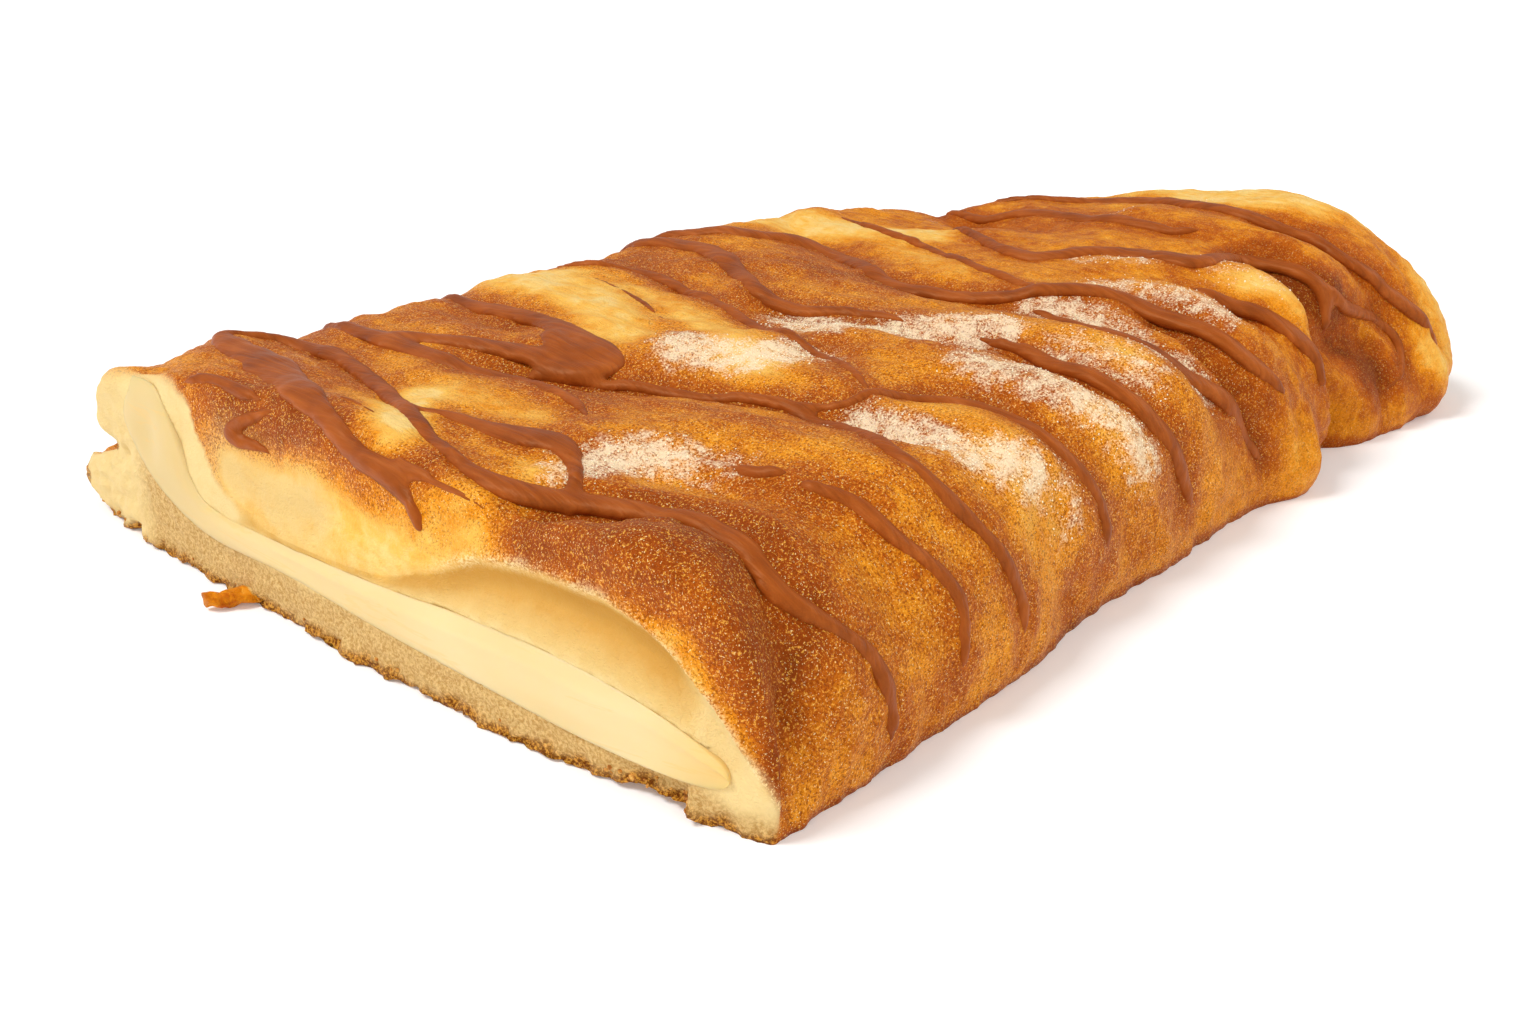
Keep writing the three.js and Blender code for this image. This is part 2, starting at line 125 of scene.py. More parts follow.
# Soft crests along the strips: height, reach and route
CRESTS = [
    (0.9, 9, [(-95, 34, 30), (-98, 14, 30), (-100, -8, 30)]),
    (1.2, 8, [(-80, -24, 30), (-72, -31, 30), (-64, -40, 30), (-62, -62, 28)]),
    (0.8, 9, [(-58, 26, 30), (-56, 10, 30)]),
    (1.3, 9, [(-46, -6, 30), (-34, -14, 30), (-24, -20, 30), (-20, -50, 30), (-16, -70, 24)]),
    (0.9, 10, [(-36, 40, 30), (-42, 16, 30)]),
    (1.3, 8, [(-14, -15, 30), (-5, -28, 30), (0, -48, 30), (2, -68, 24)]),
    (1.0, 9, [(10, 36, 30), (0, 12, 30)]),
    (1.2, 8, [(18, -32, 31), (29, -46, 31), (30, -64, 28)]),
    (1.2, 8, [(36, -34, 32), (46, -46, 33), (48, -64, 28)]),
    (0.9, 10, [(34, 26, 31), (50, -2, 32)]),
    (1.4, 9, [(70, -22, 34), (68, -46, 34), (68, -66, 26)]),
    (1.4, 10, [(94, -10, 34), (94, -40, 34), (96, -64, 24)]),
    (1.3, 3.5, [(-92, -47, 30), (-90, -49, 30)]),
    (1.0, 3, [(-88, -50.5, 30), (-87, -53, 30)]),
]

# Unevenness of the crust: height, size of its lumps, their stretch and where the noise is read
CRUST_RIPPLES = [(0.65, 17, (1, 1, 1), 3.1), (0.55, 5.5, (0.7, 1.8, 1), 7.7), (0.22, 2.2, (0.7, 1.8, 1), 1.3)]

# How much darker (positive) or paler the crust is baked, with painted shade in the rows so marked: amount,
# reach and route
BAKE_AND_SHADE = [
    (0.34, 9, [(-102, 12, 30), (-102, 3, 29), (-102, -7, 29), (-102, -14, 28)]),
    (0.16, 8, [(-103, 26, 29), (-103, 14, 29)]),
    (-0.70, 7, [(-104, 22, 20), (-104, 12, 19), (-103, 4, 20)]),
    (0.12, 6, [(-103, 10, 27), (-104, 2, 25), (-103, -12, 26)]),
    (0.34, 14, [(-99, -40, 28), (-97, -52, 29), (-95, -62, 28), (-95, -68, 24)]),
    (0.16, 5, [(-101, -50, 30), (-101, -58, 30)]),
    (0.16, 5, [(-100, -33, 27), (-101, -48, 26), (-100, -58, 25)]),
    (0.22, 14, [(-86, -50, 30), (-82, -64, 28)]),
    (0.04, 4.5, [(-95, -70, 22), (-97, -72, 17)]),
    (0.26, 4, [(-97, -72, 15), (-98, -74, 8), (-99, -75, 4)]),
    (-0.16, 7, [(-81, -40, 30), (-79, -56, 29), (-77, -66, 25)]),
    (-0.14, 7, [(-36, -48, 30), (-37, -60, 28)]),
    (-0.14, 7, [(-2, -40, 30), (-1, -58, 28)]),
    (-0.30, 7, [(-102, -26, 28), (-98, -33, 29), (-92, -29, 30)]),
    (-0.22, 9, [(-97, -4, 32), (-84, 12, 30), (-80, -12, 30)]),
    (-0.16, 9, [(-78, 22, 30), (-66, 30, 30)]),
    (0.16, 8, [(-66, -8, 30), (-64, -30, 30), (-60, -44, 30)]),
    (-0.42, 13, [(-36, 46, 29), (-38, 22, 30), (-48, 6, 30)]),
    (-0.30, 9, [(-26, 42, 30), (-28, 14, 30), (-44, -22, 30)]),
    (0.16, 9, [(-58, 42, 30), (-57, 28, 30)]),
    (0.16, 11, [(-10, 44, 30), (-6, 28, 30), (4, 10, 30), (8, -6, 30)]),
    (0.14, 9, [(16, 20, 31), (6, 6, 30)]),
    (-0.54, 12, [(30, 52, 27), (34, 30, 30), (40, 10, 32)]),
    (-0.20, 9, [(30, 6, 31), (22, -14, 31)]),
    (0.06, 13, [(56, 14, 31), (60, -8, 33), (58, -24, 33)]),
    (0.08, 9, [(70, 6, 34), (73, -14, 34), (73, -32, 34)]),
    (-0.36, 14, [(94, -14, 34), (93, -34, 35), (98, -52, 31)]),
    (-0.32, 12, [(92, 12, 28), (102, -10, 31), (104, -26, 28)]),
    (-0.30, 14, [(92, -72, 18), (100, -56, 24)]),
    (-0.30, 8, [(86, -24, 35), (84, -38, 36)]),
    # Painted shade: these two rows darken the recess beside the knob at the far end, on its front.
    (0.30, 8, [(63, -62, 29), (63, -68, 20), (66, -70, 10)]),
    (0.75, 9, [(65, -64, 24), (68, -67, 18), (69, -71, 13)]),
    (-0.22, 9, [(90, -26, 35), (88, -38, 36), (88, -48, 35)]),
    (-0.22, 6, [(45, -58, 31), (46, -64, 30)]),
    (-0.60, 7, [(-98, -9, 32), (-92, -2, 32), (-86, 6, 31)]),
    (0.14, 10, [(-101, 20, 30), (-103, 0, 28)]),
    (0.22, 7, [(57, -48, 33), (60, -58, 31)]),
    (0.16, 6, [(-20, -36, 30), (-22, -58, 30)]),
    (-0.08, 9, [(-70, -64, 27), (-72, -73, 14)]),
    (-0.25, 8, [(82, -72, 17), (88, -74, 10)]),
    (0.10, 12, [(-30, -76, 12), (24, -77, 10)]),
    (-0.20, 9, [(-44, -62, 28), (-40, -73, 14)]),
    (-0.16, 9, [(-20, -64, 26), (-16, -74, 12)]),
    (-0.14, 12, [(0, -75, 10), (30, -76, 8)]),
    (-0.14, 10, [(44, -56, 32), (46, -70, 20)]),
    (-0.16, 12, [(-106, 60, 22), (-98, 64, 22)]),
]

# Patches of sugar: thickness, reach and route
SUGARED = [
    (0.6, 6, [(-88, -31, 31), (-80, -33, 30), (-76, -38, 30)]),
    (0.4, 6, [(-76, -38, 30), (-74, -45, 30)]),
    (0.7, 7, [(-46, -9, 31), (-42, -18, 31), (-33, -22, 30)]),
    (0.65, 7, [(-17, -5, 29), (-18, -18, 30), (-10, -26, 29), (-3, -37, 31)]),
    (0.6, 7, [(-21, -45, 31), (-21, -56, 31), (-17, -65, 28), (-14, -71, 21)]),
    (0.65, 6.5, [(-46, -44, 28), (-46, -54, 29), (-45, -61, 28), (-40, -67, 25)]),
    (0.4, 7, [(-38, -66, 25), (-36, -72, 20)]),
    (0.55, 7, [(15, -34, 30), (14, -46, 30), (8, -58, 29), (11, -65, 24)]),
    (0.5, 6, [(27, -38, 32), (29, -50, 32), (28, -60, 31)]),
    (0.45, 7, [(-4, -50, 30), (-2, -62, 28)]),
    (0.35, 5, [(44, -50, 32), (48, -60, 29)]),
    (0.40, 5, [(38, -28, 32), (40, -36, 32), (52, -50, 33)]),
    (0.25, 6, [(70, -17, 34), (84, -26, 34)]),
]

# Height of the crust's rim over the cut, across it
RIM_Y = [-76, -72, -68, -64, -61, -57, -51, -38, -30, -22, -12, 0, 12, 21, 28, 32, 34, 40, 60, 76]
RIM_Z = [3, 9, 14.5, 18.5, 21, 23, 24.5, 24.3, 23, 19.2, 15.2, 13.8, 13.4, 14.5, 18, 23, 27.5, 29.8, 31, 31]
# How high the open crumb reaches on the cut, across it
CRUMB_Y = [-76, -70, -62, 30, 44, 52, 56]
CRUMB_Z = [2.5, 3.5, 6.5, 8.5, 12, 20, 40]
# How gently the crust passes into the cut dough, across it
SOFT_Y = [-76, -66, -58, -30, -18, 0, 14, 22, 34, 60]
SOFT_RUN = [3.0, 2.4, 1.4, 1.4, 3.0, 5.0, 4.0, 1.6, 1.2, 1.2]
# How far behind the cut the crust is still pale, across it
PALE_Y = [-76, -60, -36, -26, -16, 0, 9, 15, 19, 24, 36, 60]
PALE_RUN = [1.5, 1.5, 1.8, 3.5, 7, 8.5, 7, 4.5, 1.8, 1.0, 1.0, 2.5]

# Where the crust over the middle of the cut is beige: route and reach
BEIGE, BEIGE_REACH = [(-104, 25, 21), (-104, 12, 19), (-103, 4, 20)], 9

# Cross-section of the cheese at the cut, across and up
CHEESE = [
    (-66, 5.6), (-50, 5.3), (-30, 6.5), (-10, 7.5), (10, 8.5), (28, 8), (38, 9.5), (46, 13), (51, 17),
    (55, 22), (54.5, 26), (50, 27.6), (43, 27), (38, 21), (34, 15.5), (28, 12.5), (8, 12.6), (-12, 13.4),
    (-28, 14.5), (-42, 14.7), (-52, 13.8), (-61, 11.8), (-68, 8.5),
]

# Lines of icing: places across the crust, each with half its width there
ICING = [
    [(-104, 38, 29, 0.5), (-103, 36, 30, 0.9), (-102, 34, 31, 1.5), (-101, 31, 31, 1.8), (-101, 26, 31, 1.7),
     (-101, 21, 31, 1.1), (-101, 18, 31, 0.5)],
    [(-101, 13, 31, 0.5), (-102, 17, 30, 1.1), (-103, 22, 28, 1.5), (-104, 25, 27, 1.6), (-104, 22, 26, 1.5),
     (-103, 18, 25, 1.2), (-103, 14, 25, 0.5)],
    [(-87, 54, 27, 1.8), (-89, 49, 29, 3.0), (-90, 44, 30, 4.0), (-91, 37, 30, 4.6), (-93, 28, 31, 4.8),
     (-96, 18, 31, 4.0), (-99, 8, 32, 3.1), (-101, 0, 31, 2.5), (-102, -7, 29, 2.2), (-102, -13, 28, 2.6),
     (-103, -18, 27, 1.8), (-104, -20, 25, 1.2)],
    [(-96, 9, 31, 0.5), (-95, 5, 32, 0.9), (-96, -2, 32, 0.7), (-97, -11, 32, 0.4)],
    [(-101, -13, 29, 1.9), (-101, -19, 30, 1.2), (-101, -24, 29, 1.0), (-100, -31, 29, 0.5)],
    [(-88, 53, 28, 1.4), (-84, 51, 29, 2.2), (-79, 47, 28, 2.6), (-78, 38, 28, 2.7), (-80, 28, 29, 2.7),
     (-84, 15, 29, 2.4), (-88, 5, 31, 2.1), (-92, -4, 32, 2.0), (-95, -13, 32, 1.8), (-97, -23, 31, 2.1),
     (-96, -30, 30, 2.9), (-91, -38, 29, 3.0), (-88, -46, 29, 2.6), (-87, -54, 30, 2.4), (-87, -60, 28, 2.5),
     (-88, -66, 25, 2.7), (-85, -70, 21, 1.9), (-81, -73, 18, 1.8), (-79, -74, 13, 2.0), (-78, -75, 8, 1.5),
     (-78, -75, 4, 0.6)],
    [(-90, 0, 31, 0.9), (-88, -5, 31, 1.4), (-87, -13, 31, 2.6), (-86, -20, 31, 3.8), (-85, -26, 31, 3.2),
     (-88, -32, 30, 1.5), (-91, -35, 29, 1.7), (-94, -37, 29, 1.0)],
    [(-67, 58, 26, 1.0), (-69, 50, 29, 1.9), (-70, 39, 30, 2.6), (-71, 26, 30, 3.0), (-71, 15, 30, 2.8),
     (-69, 6, 29, 2.2), (-70, -5, 30, 1.8), (-72, -14, 30, 1.3), (-76, -21, 31, 0.5)],
    [(-45, 54, 27, 1.6), (-47, 46, 29, 2.3), (-48, 33, 29, 2.8), (-49, 21, 30, 2.9), (-52, 11, 31, 3.6),
     (-54, 3, 30, 4.6), (-56, -2, 30, 4.6), (-60, 2, 29, 4.0), (-61, 10, 30, 3.3), (-64, 20, 30, 2.8),
     (-67, 28, 31, 2.8), (-70, 34, 30, 2.4)],
    [(-55, 12, 30, 2.5), (-58, 4, 30, 3.0), (-57, -1, 30, 3.0)],
    [(-64, 6, 30, 1.5), (-60, -3, 29, 1.7), (-56, -11, 28, 1.9), (-53, -19, 28, 1.8), (-49, -27, 28, 1.9),
     (-48, -34, 28, 2.0), (-51, -46, 29, 1.9), (-57, -57, 30, 2.1), (-58, -64, 28, 2.4), (-54, -70, 22, 2.0),
     (-52, -72, 17, 1.8), (-50, -74, 12, 1.7), (-50, -75, 7, 0.7)],
    [(-73, -43, 30, 0.6), (-73, -47, 30, 1.6), (-72, -50, 30, 1.5), (-71, -53, 30, 0.5)],
    [(-72, -54, 30, 0.6), (-71, -57, 30, 1.8), (-69, -61, 29, 2.0), (-68, -66, 25, 2.0), (-65, -70, 21, 1.9),
     (-63, -73, 17, 1.9), (-64, -75, 12, 1.4), (-64, -76, 8, 0.6)],
    [(-25, 36, 30, 0.5), (-29, 21, 30, 0.9), (-34, 9, 30, 0.8), (-43, -7, 31, 0.4)],
    [(-22, 50, 28, 0.7), (-20, 42, 30, 1.3), (-14, 34, 29, 1.8), (-17, 19, 29, 1.8), (-22, 3, 29, 1.7),
     (-29, -14, 31, 1.6), (-32, -26, 30, 1.4), (-39, -39, 30, 1.0)],
    [(-48, -32, 28, 1.2), (-44, -39, 29, 1.4), (-37, -42, 29, 1.5), (-31, -48, 29, 1.9), (-30, -56, 28, 2.1),
     (-31, -64, 27, 2.3), (-29, -69, 22, 2.1), (-27, -72, 17, 1.8), (-27, -74, 11, 0.8)],
    [(2, 58, 25, 1.4), (1, 49, 29, 2.3), (2, 34, 30, 2.7), (-5, 19, 31, 2.3), (-12, 7, 30, 2.1),
     (-13, -4, 29, 2.0), (-10, -12, 30, 1.7), (-9, -23, 30, 0.7)],
    [(-6, -35, 29, 0.6), (-6, -44, 29, 1.8), (-8, -55, 29, 2.1), (-8, -64, 26, 2.3), (-6, -69, 22, 2.1),
     (-3, -72, 16, 1.7), (0, -74, 9, 0.7)],
    [(6, 55, 27, 1.4), (9, 44, 29, 2.2), (14, 33, 31, 2.6), (21, 26, 30, 2.5), (22, 16, 29, 2.2),
     (15, 3, 29, 2.1), (12, -6, 28, 2.0), (13, -18, 29, 2.0), (16, -29, 30, 2.0), (21, -37, 31, 2.1),
     (24, -46, 31, 2.1), (24, -55, 30, 2.1), (24, -64, 27, 2.0), (26, -69, 23, 1.6), (29, -72, 19, 0.7)],
    [(13, -33, 29, 0.6), (12, -42, 29, 1.8), (8, -53, 30, 2.0), (10, -62, 27, 2.1), (15, -67, 21, 1.9),
     (21, -71, 15, 1.6), (25, -73, 9, 0.7)],
    [(41, 32, 29, 0.5), (36, 17, 31, 1.2), (33, 5, 31, 1.2), (27, -8, 31, 1.3), (22, -20, 31, 1.2),
     (18, -33, 31, 0.5)],
    [(48, 8, 30, 0.8), (41, -4, 31, 1.6), (37, -11, 31, 1.9), (36, -19, 31, 2.0), (42, -27, 32, 2.2),
     (45, -34, 33, 2.3), (44, -41, 33, 2.3), (45, -47, 33, 2.2), (53, -47, 33, 2.0), (61, -47, 33, 1.9),
     (63, -52, 32, 1.9), (63, -58, 30, 1.9), (63, -63, 26, 1.6), (62, -65, 22, 0.8)],
    [(63, -62, 28, 1.0), (66, -65, 26, 1.4), (72, -67, 24, 1.4), (78, -69, 21, 1.3), (81, -72, 16, 1.2),
     (78, -75, 12, 0.9), (73, -76, 9, 0.5)],
    [(37, -50, 31, 0.8), (38, -54, 30, 1.7), (40, -60, 29, 2.0), (42, -67, 25, 2.0), (44, -71, 21, 1.6),
     (44, -73, 17, 0.8)],
    [(68, 24, 28, 0.8), (66, 14, 30, 1.5), (67, 6, 31, 1.8), (66, -4, 32, 1.9), (64, -14, 33, 1.9),
     (62, -24, 34, 1.7), (62, -33, 34, 1.3), (64, -38, 35, 0.5)],
    [(74, 16, 30, 0.8), (80, 2, 32, 1.7), (84, -7, 33, 2.1), (85, -15, 34, 2.1), (81, -26, 35, 2.0),
     (78, -36, 35, 1.9), (78, -45, 34, 1.8), (79, -52, 32, 1.7), (78, -59, 30, 1.7), (81, -67, 26, 1.8),
     (85, -72, 21, 1.8), (88, -75, 17, 1.2), (90, -77, 14, 0.6)],
]


# ---------------------------------------------------------------- the crust's shape

def smooth(value):
    """0 below 0, 1 above 1 and an even bend between."""
    t = np.clip(value, 0, 1)
    return t * t * (3 - 2 * t)


def far_edge(y):
    """Where the dough ends at its far end, which slants away at the back."""
    return FAR_X - SLANT * np.clip((y - SLANT_START_Y) / (BACK_Y - SLANT_START_Y), 0, 1) ** SLANT_BEND


def cut_edge(y):
    """Where the cut lies, which bows in at the front."""
    return CUT_X + BOW * np.clip((BOW_START_Y - y) / (BOW_START_Y - FRONT_Y), 0, 1) ** 2


def cut_round(y):
    """How far the crust takes to turn down to the cut, longest over its middle."""
    return CUT_ROUND + CUT_DROOP * np.exp(-((y / CUT_DROOP_REACH) ** 2))


def top_height(x, y):
    """Height of the plain crust, higher at the far end and lower along the back."""
    over_middle = np.exp(-(((y - RISE_CENTRE_Y) / RISE_REACH) ** 2))
    rise = FAR_RISE * smooth((x - RISE_START_X) / RISE_RUN) * over_middle
    drop = smooth((CUT_DROP_X - x) / CUT_DROP_RUN) + FAR_DROP * smooth(x / FAR_DROP_RUN)
    return CREST + rise - drop * smooth((y - DROP_START_Y) / DROP_RUN)


def outside(p):
    """About how far each place is outside the plain crust."""
    x, y, z = p[:, 0], p[:, 1], p[:, 2]
    tuck = FRONT_TUCK * np.clip(1 - z / TUCK_TOP, 0, 1) ** 2
    back_wall = BACK_Y + FOOT * (1 - smooth((z - FOOT_TOP) / FOOT_SLOPE))
    front = (FRONT_Y + tuck + FRONT_ROUND - y) / FRONT_ROUND
    back = (y - back_wall + BACK_ROUND) / BACK_ROUND
    far = (x - far_edge(y) + FAR_ROUND) / FAR_ROUND
    cut = (cut_edge(y) + cut_round(y) - x) / cut_round(y)
    across = np.maximum(np.maximum(front, back), 0) ** FULLNESS
    along = np.maximum(np.maximum(far, cut), 0) ** FULLNESS
    up = (np.maximum(z, 0) / top_height(x, y)) ** FULLNESS
    return ((across + along + up) ** (1 / FULLNESS) - 1) * CREST


def outward(p, step=0.2):
    """The way straight out of the plain crust at each place."""
    slopes = []
    for axis in range(3):
        move = np.zeros(3)
        move[axis] = step
        slopes.append(outside(p + move) - outside(p - move))
    normal = np.stack(slopes, 1)
    return normal / np.maximum(np.linalg.norm(normal, axis=1, keepdims=True), 1e-9)


def heart_of(p):
    """The nearest place on the ground under the flat middle of the dough."""
    x, y = p[:, 0], p[:, 1]
    heart_x = np.clip(x, cut_edge(y) + cut_round(y), far_edge(y) - FAR_ROUND)
    heart_y = np.clip(y, FRONT_Y + FRONT_ROUND, BACK_Y - BACK_ROUND)
    return np.stack([heart_x, heart_y, np.zeros(len(p))], 1)


def crust_through(p):
    """Where rays from the heart of the dough through the places leave the plain crust."""
    heart = heart_of(p)
    ray = p - heart
    inside, beyond = np.zeros(len(p)), np.full(len(p), 1.3)
    for _ in range(30):
        middle = (inside + beyond) / 2
        within = outside(heart + ray * middle[:, None]) < 0
        inside = np.where(within, middle, inside)
        beyond = np.where(within, beyond, middle)
    return heart + ray * inside[:, None]


def curve_through(places, per_span=12):
    """Evenly turned points along a smooth curve through the places; extra columns go along."""
    p = np.array(places, float)
    p = np.vstack([2 * p[0] - p[1], p, 2 * p[-1] - p[-2]])
    out = []
    for a, b, c, d in zip(p, p[1:], p[2:], p[3:]):
        for t in np.arange(per_span) / per_span:
            out.append(0.5 * (2 * b + (c - a) * t + (2 * a - 5 * b + 4 * c - d) * t * t
                              + (3 * b - a - 3 * c + d) * t ** 3))
    out.append(p[-2])
    return np.array(out)


def closeness(p, places, reach, start=0):
    """From 1 on a route to 0 at its reach, deepening over the first start stretches."""
    line = curve_through(places)
    near = np.zeros(len(p))
    low, high = line.min(0) - reach, line.max(0) + reach
    rows = np.nonzero(((p > low) & (p < high)).all(1))[0]
    part = p[rows]
    best = np.zeros(len(rows))
    for i, (a, b) in enumerate(zip(line, line[1:])):
        d = b - a
        t = np.clip(((part - a) @ d) / max(d @ d, 1e-9), 0, 1)
        away = np.linalg.norm(part - a - t[:, None] * d, axis=1)
        fade = smooth((i + 1) / start) if start else 1
        best = np.maximum(best, fade * np.clip(1 - away / reach, 0, 1))
    near[rows] = best
    return near


def ripples(p, size, stretch=(1, 1, 1), seed=0.0):
    """Smooth noise from -1 to 1 at each place, in lumps of about that size."""
    q = p / (np.array(stretch) * size) + seed
    fineness, closer, octaves = 1.0, 2.0, 2
    return np.array([noise.fractal(Vector(v), fineness, closer, octaves) for v in q])


def fold_depth(p):
    """How deep the folds between the strips are, shallower at the near foot."""
    depth = np.zeros(len(p))
    for deep, reach, route in FOLDS:
        depth = np.maximum(depth, deep * closeness(p, route, reach, start=12) ** 1.7)
    near_foot = (1 - smooth(p[:, 2] / 16)) * (1 - smooth((p[:, 0] - 30) / 15))
    return depth * (1 - 0.75 * near_foot)


def crust_relief(p):
    """How far the crust moves in (positive) or out."""
    relief = FOLD_DEEPENING * fold_depth(p)
    for height, radius, centre in SWELLS:
        relief -= height * np.exp(-((np.linalg.norm(p - centre, axis=1) / radius) ** 2))
    for height, reach, route in CRESTS:
        relief -= height * smooth(closeness(p, route, reach))
    for height, size, stretch, seed in CRUST_RIPPLES:
        relief -= height * ripples(p, size, stretch, seed)
    z = p[:, 2]
    behind = smooth((p[:, 1] - FLANGE_Y) / FLANGE_RUN)
    groove = np.exp(-(((z - FLANGE_TOP) / 2.2) ** 2))
    ear = smooth((z - 14) / 3)
    lumps = ripples(p, 2.8, seed=2.2)
    relief += 2.2 * behind * groove
    relief -= 1.3 * behind * ear * (1 - smooth((behind_cut(p) - 8) / 8))
    relief += 5.5 * behind * np.clip(1 - z / 5, 0, 1) ** 1.3
    relief -= behind * 1.1 * lumps * (1 - smooth((z - 11) / 4))
    return relief


def rim_height(y):
    """Height of the crust's rim over the cut."""
    return np.interp(y, RIM_Y, RIM_Z)


def behind_cut(p):
    """How far each place lies behind the cut."""
    return p[:, 0] - cut_edge(p[:, 1])


def opened(p):
    """1 on the cut dough, 0 on the baked crust."""
    wander = 0.8 * ripples(p, 4, seed=9.4)
    below = (rim_height(p[:, 1]) + wander - p[:, 2]) / np.interp(p[:, 1], SOFT_Y, SOFT_RUN)
    return smooth(below + 0.5) * (1 - smooth((behind_cut(p) - 1.6) / 1.5))


def low_crumb(p):
    """1 on the open crumb under the cheese and at its back end, 0 on the smooth dough above."""
    over = np.interp(p[:, 1], CRUMB_Y, CRUMB_Z)
    return 1 - smooth((p[:, 2] - over + 0.8 * ripples(p, 5, seed=19.0)) / 2.4 + 0.5)


def foot_lift(p):
    """How high the torn foot of the cut stands off the ground."""
    near = 1 - smooth((behind_cut(p) - 1.0) / 4)
    along = np.stack([p[:, 0] * 0, p[:, 1], p[:, 1] * 0], 1)
    uneven = 0.2 + 0.5 * ripples(along, 9, seed=41.0) + 0.5 * ripples(along, 2.4, seed=43.0)
    y = p[:, 1]
    gap = 0.9 * smooth((y + 64.5) / 1.5) * (1 - smooth((y + 56) / 9))
    torn = 1 - smooth((-62.5 - y) / 1.5)
    return near * (np.clip(uneven, 0.05, 1.6) * torn + gap)


def cut_relief(p):
    """How far the cut face moves in: hollow under the crust, rough crumb, ragged toasted foot."""
    y, z = p[:, 1], p[:, 2]
    under_rim = np.exp(-(((z - rim_height(y) + 3.4) / 2.9) ** 2))
    hollow = 2.2 * under_rim * smooth((-16 - y) / 18) * (1 - smooth((-66 - y) / 7))
    lip = -0.9 * np.exp(-(((z - rim_height(y) - 0.4) / 0.8) ** 2)) * smooth((-14 - y) / 16)
    slot = 1.0 * np.exp(-(((y - 37) / 4) ** 2) - ((z - 23) / 5) ** 2)
    foot = 1 - smooth((z - 0.8) / 3.4)
    ragged = foot * (0.1 + 0.9 * ripples(p, 5.5, seed=4.4) + 0.9 * ripples(p, 1.7, seed=5.5))
    rough = ripples(p, 1.6, seed=8.1) * (0.06 + 0.30 * low_crumb(p))
    notch = 1.5 * smooth((y + 63.5) / 1.2) * (1 - smooth((y + 58) / 8)) * (1 - smooth((z - 3) / 4))
    column = smooth((y - 52) / 4)
    back = column * (0.7 * ripples(p, 2.6, seed=2.2) + 0.8 * np.exp(-(((z - 14) / 2) ** 2)))
    under = 1.5 * column * np.clip(1 - z / 4, 0, 1)
    wall = -1.3 * column * smooth((y - 60) / 4) * smooth((z - 14) / 3)
    face = 0.3 * ripples(p, 11, seed=6.6)
    return hollow + lip + slot + ragged + rough + notch + back + under + wall + face


# ---------------------------------------------------------------- making meshes

def to_row(p):
    """Places of the working frame in the row frame, in metres."""
    return (np.asarray(p, float) + SHIFT) * 0.001


def mesh_object(name, places, faces, material=None):
    mesh = bpy.data.meshes.new(name)
    mesh.from_pydata([tuple(v) for v in to_row(places)], [], [tuple(map(int, f)) for f in faces])
    mesh.validate()
    made = bpy.data.objects.new(name, mesh)
    bpy.context.scene.collection.objects.link(made)
    if material:
        mesh.materials.append(material)
    return made


def places_of(mesh):
    """The places of a mesh in the working frame."""
    co = np.zeros(len(mesh.vertices) * 3, np.float32)
    mesh.vertices.foreach_get("co", co)
    return co.reshape(-1, 3).astype(float) * 1000 - SHIFT


def put_values(mesh, name, values):
    """Keeps a number for each place of the mesh, for its paint and for what is strewn on it."""
    attribute = mesh.attributes.new(name, "FLOAT", "POINT")
    attribute.data.foreach_set("value", np.asarray(values, np.float32))


def nearest_rows(places, wanted):
    """For each wanted place the row of the nearest of the places, and how far off it is."""
    tree = KDTree(len(places))
    for row, place in enumerate(places):
        tree.insert(place, row)
    tree.balance()
    found = [tree.find(place)[1:] for place in wanted]
    return np.array([f[0] for f in found]), np.array([f[1] for f in found])


def shade_smooth(mesh):
    mesh.polygons.foreach_set("use_smooth", [True] * len(mesh.polygons))


def block_shell(cells):
    """The places (i, j, k) on a block of cells, its faces, which face out, and the rim of its base."""
    n = np.array(cells)
    faces = []
    for axis in range(3):
        a, b = (axis + 1) % 3, (axis + 2) % 3
        for end in (0, 1):
            if axis == 2 and end == 0:
                continue
            s, t = np.meshgrid(np.arange(n[a]), np.arange(n[b]), indexing="ij")
            corners = []
            for ds, dt in ((0, 0), (1, 0), (1, 1), (0, 1)):
                place = np.zeros((s.size, 3), int)
                place[:, axis] = n[axis] * end
                place[:, a] = s.ravel() + ds
                place[:, b] = t.ravel() + dt
                corners.append(place)
            if end == 0:
                corners.reverse()
            faces.append(np.stack(corners, 1))
    quads = np.concatenate(faces)
    span = n + 1
    code = (quads[..., 0] * span[1] + quads[..., 1]) * span[2] + quads[..., 2]
    found, rows = np.unique(code, return_inverse=True)
    rows = rows.reshape(code.shape)
    k = found % span[2]
    j = (found // span[2]) % span[1]
    i = found // (span[1] * span[2])
    order = {int(c): r for r, c in enumerate(found)}
    rim = [(x, 0) for x in range(n[0])] + [(n[0], y) for y in range(n[1])]
    rim += [(x, n[1]) for x in range(n[0], 0, -1)] + [(0, y) for y in range(n[1], 0, -1)]
    base = [order[int((x * span[1] + y) * span[2])] for x, y in reversed(rim)]
    return np.stack([i, j, k], 1), rows, base


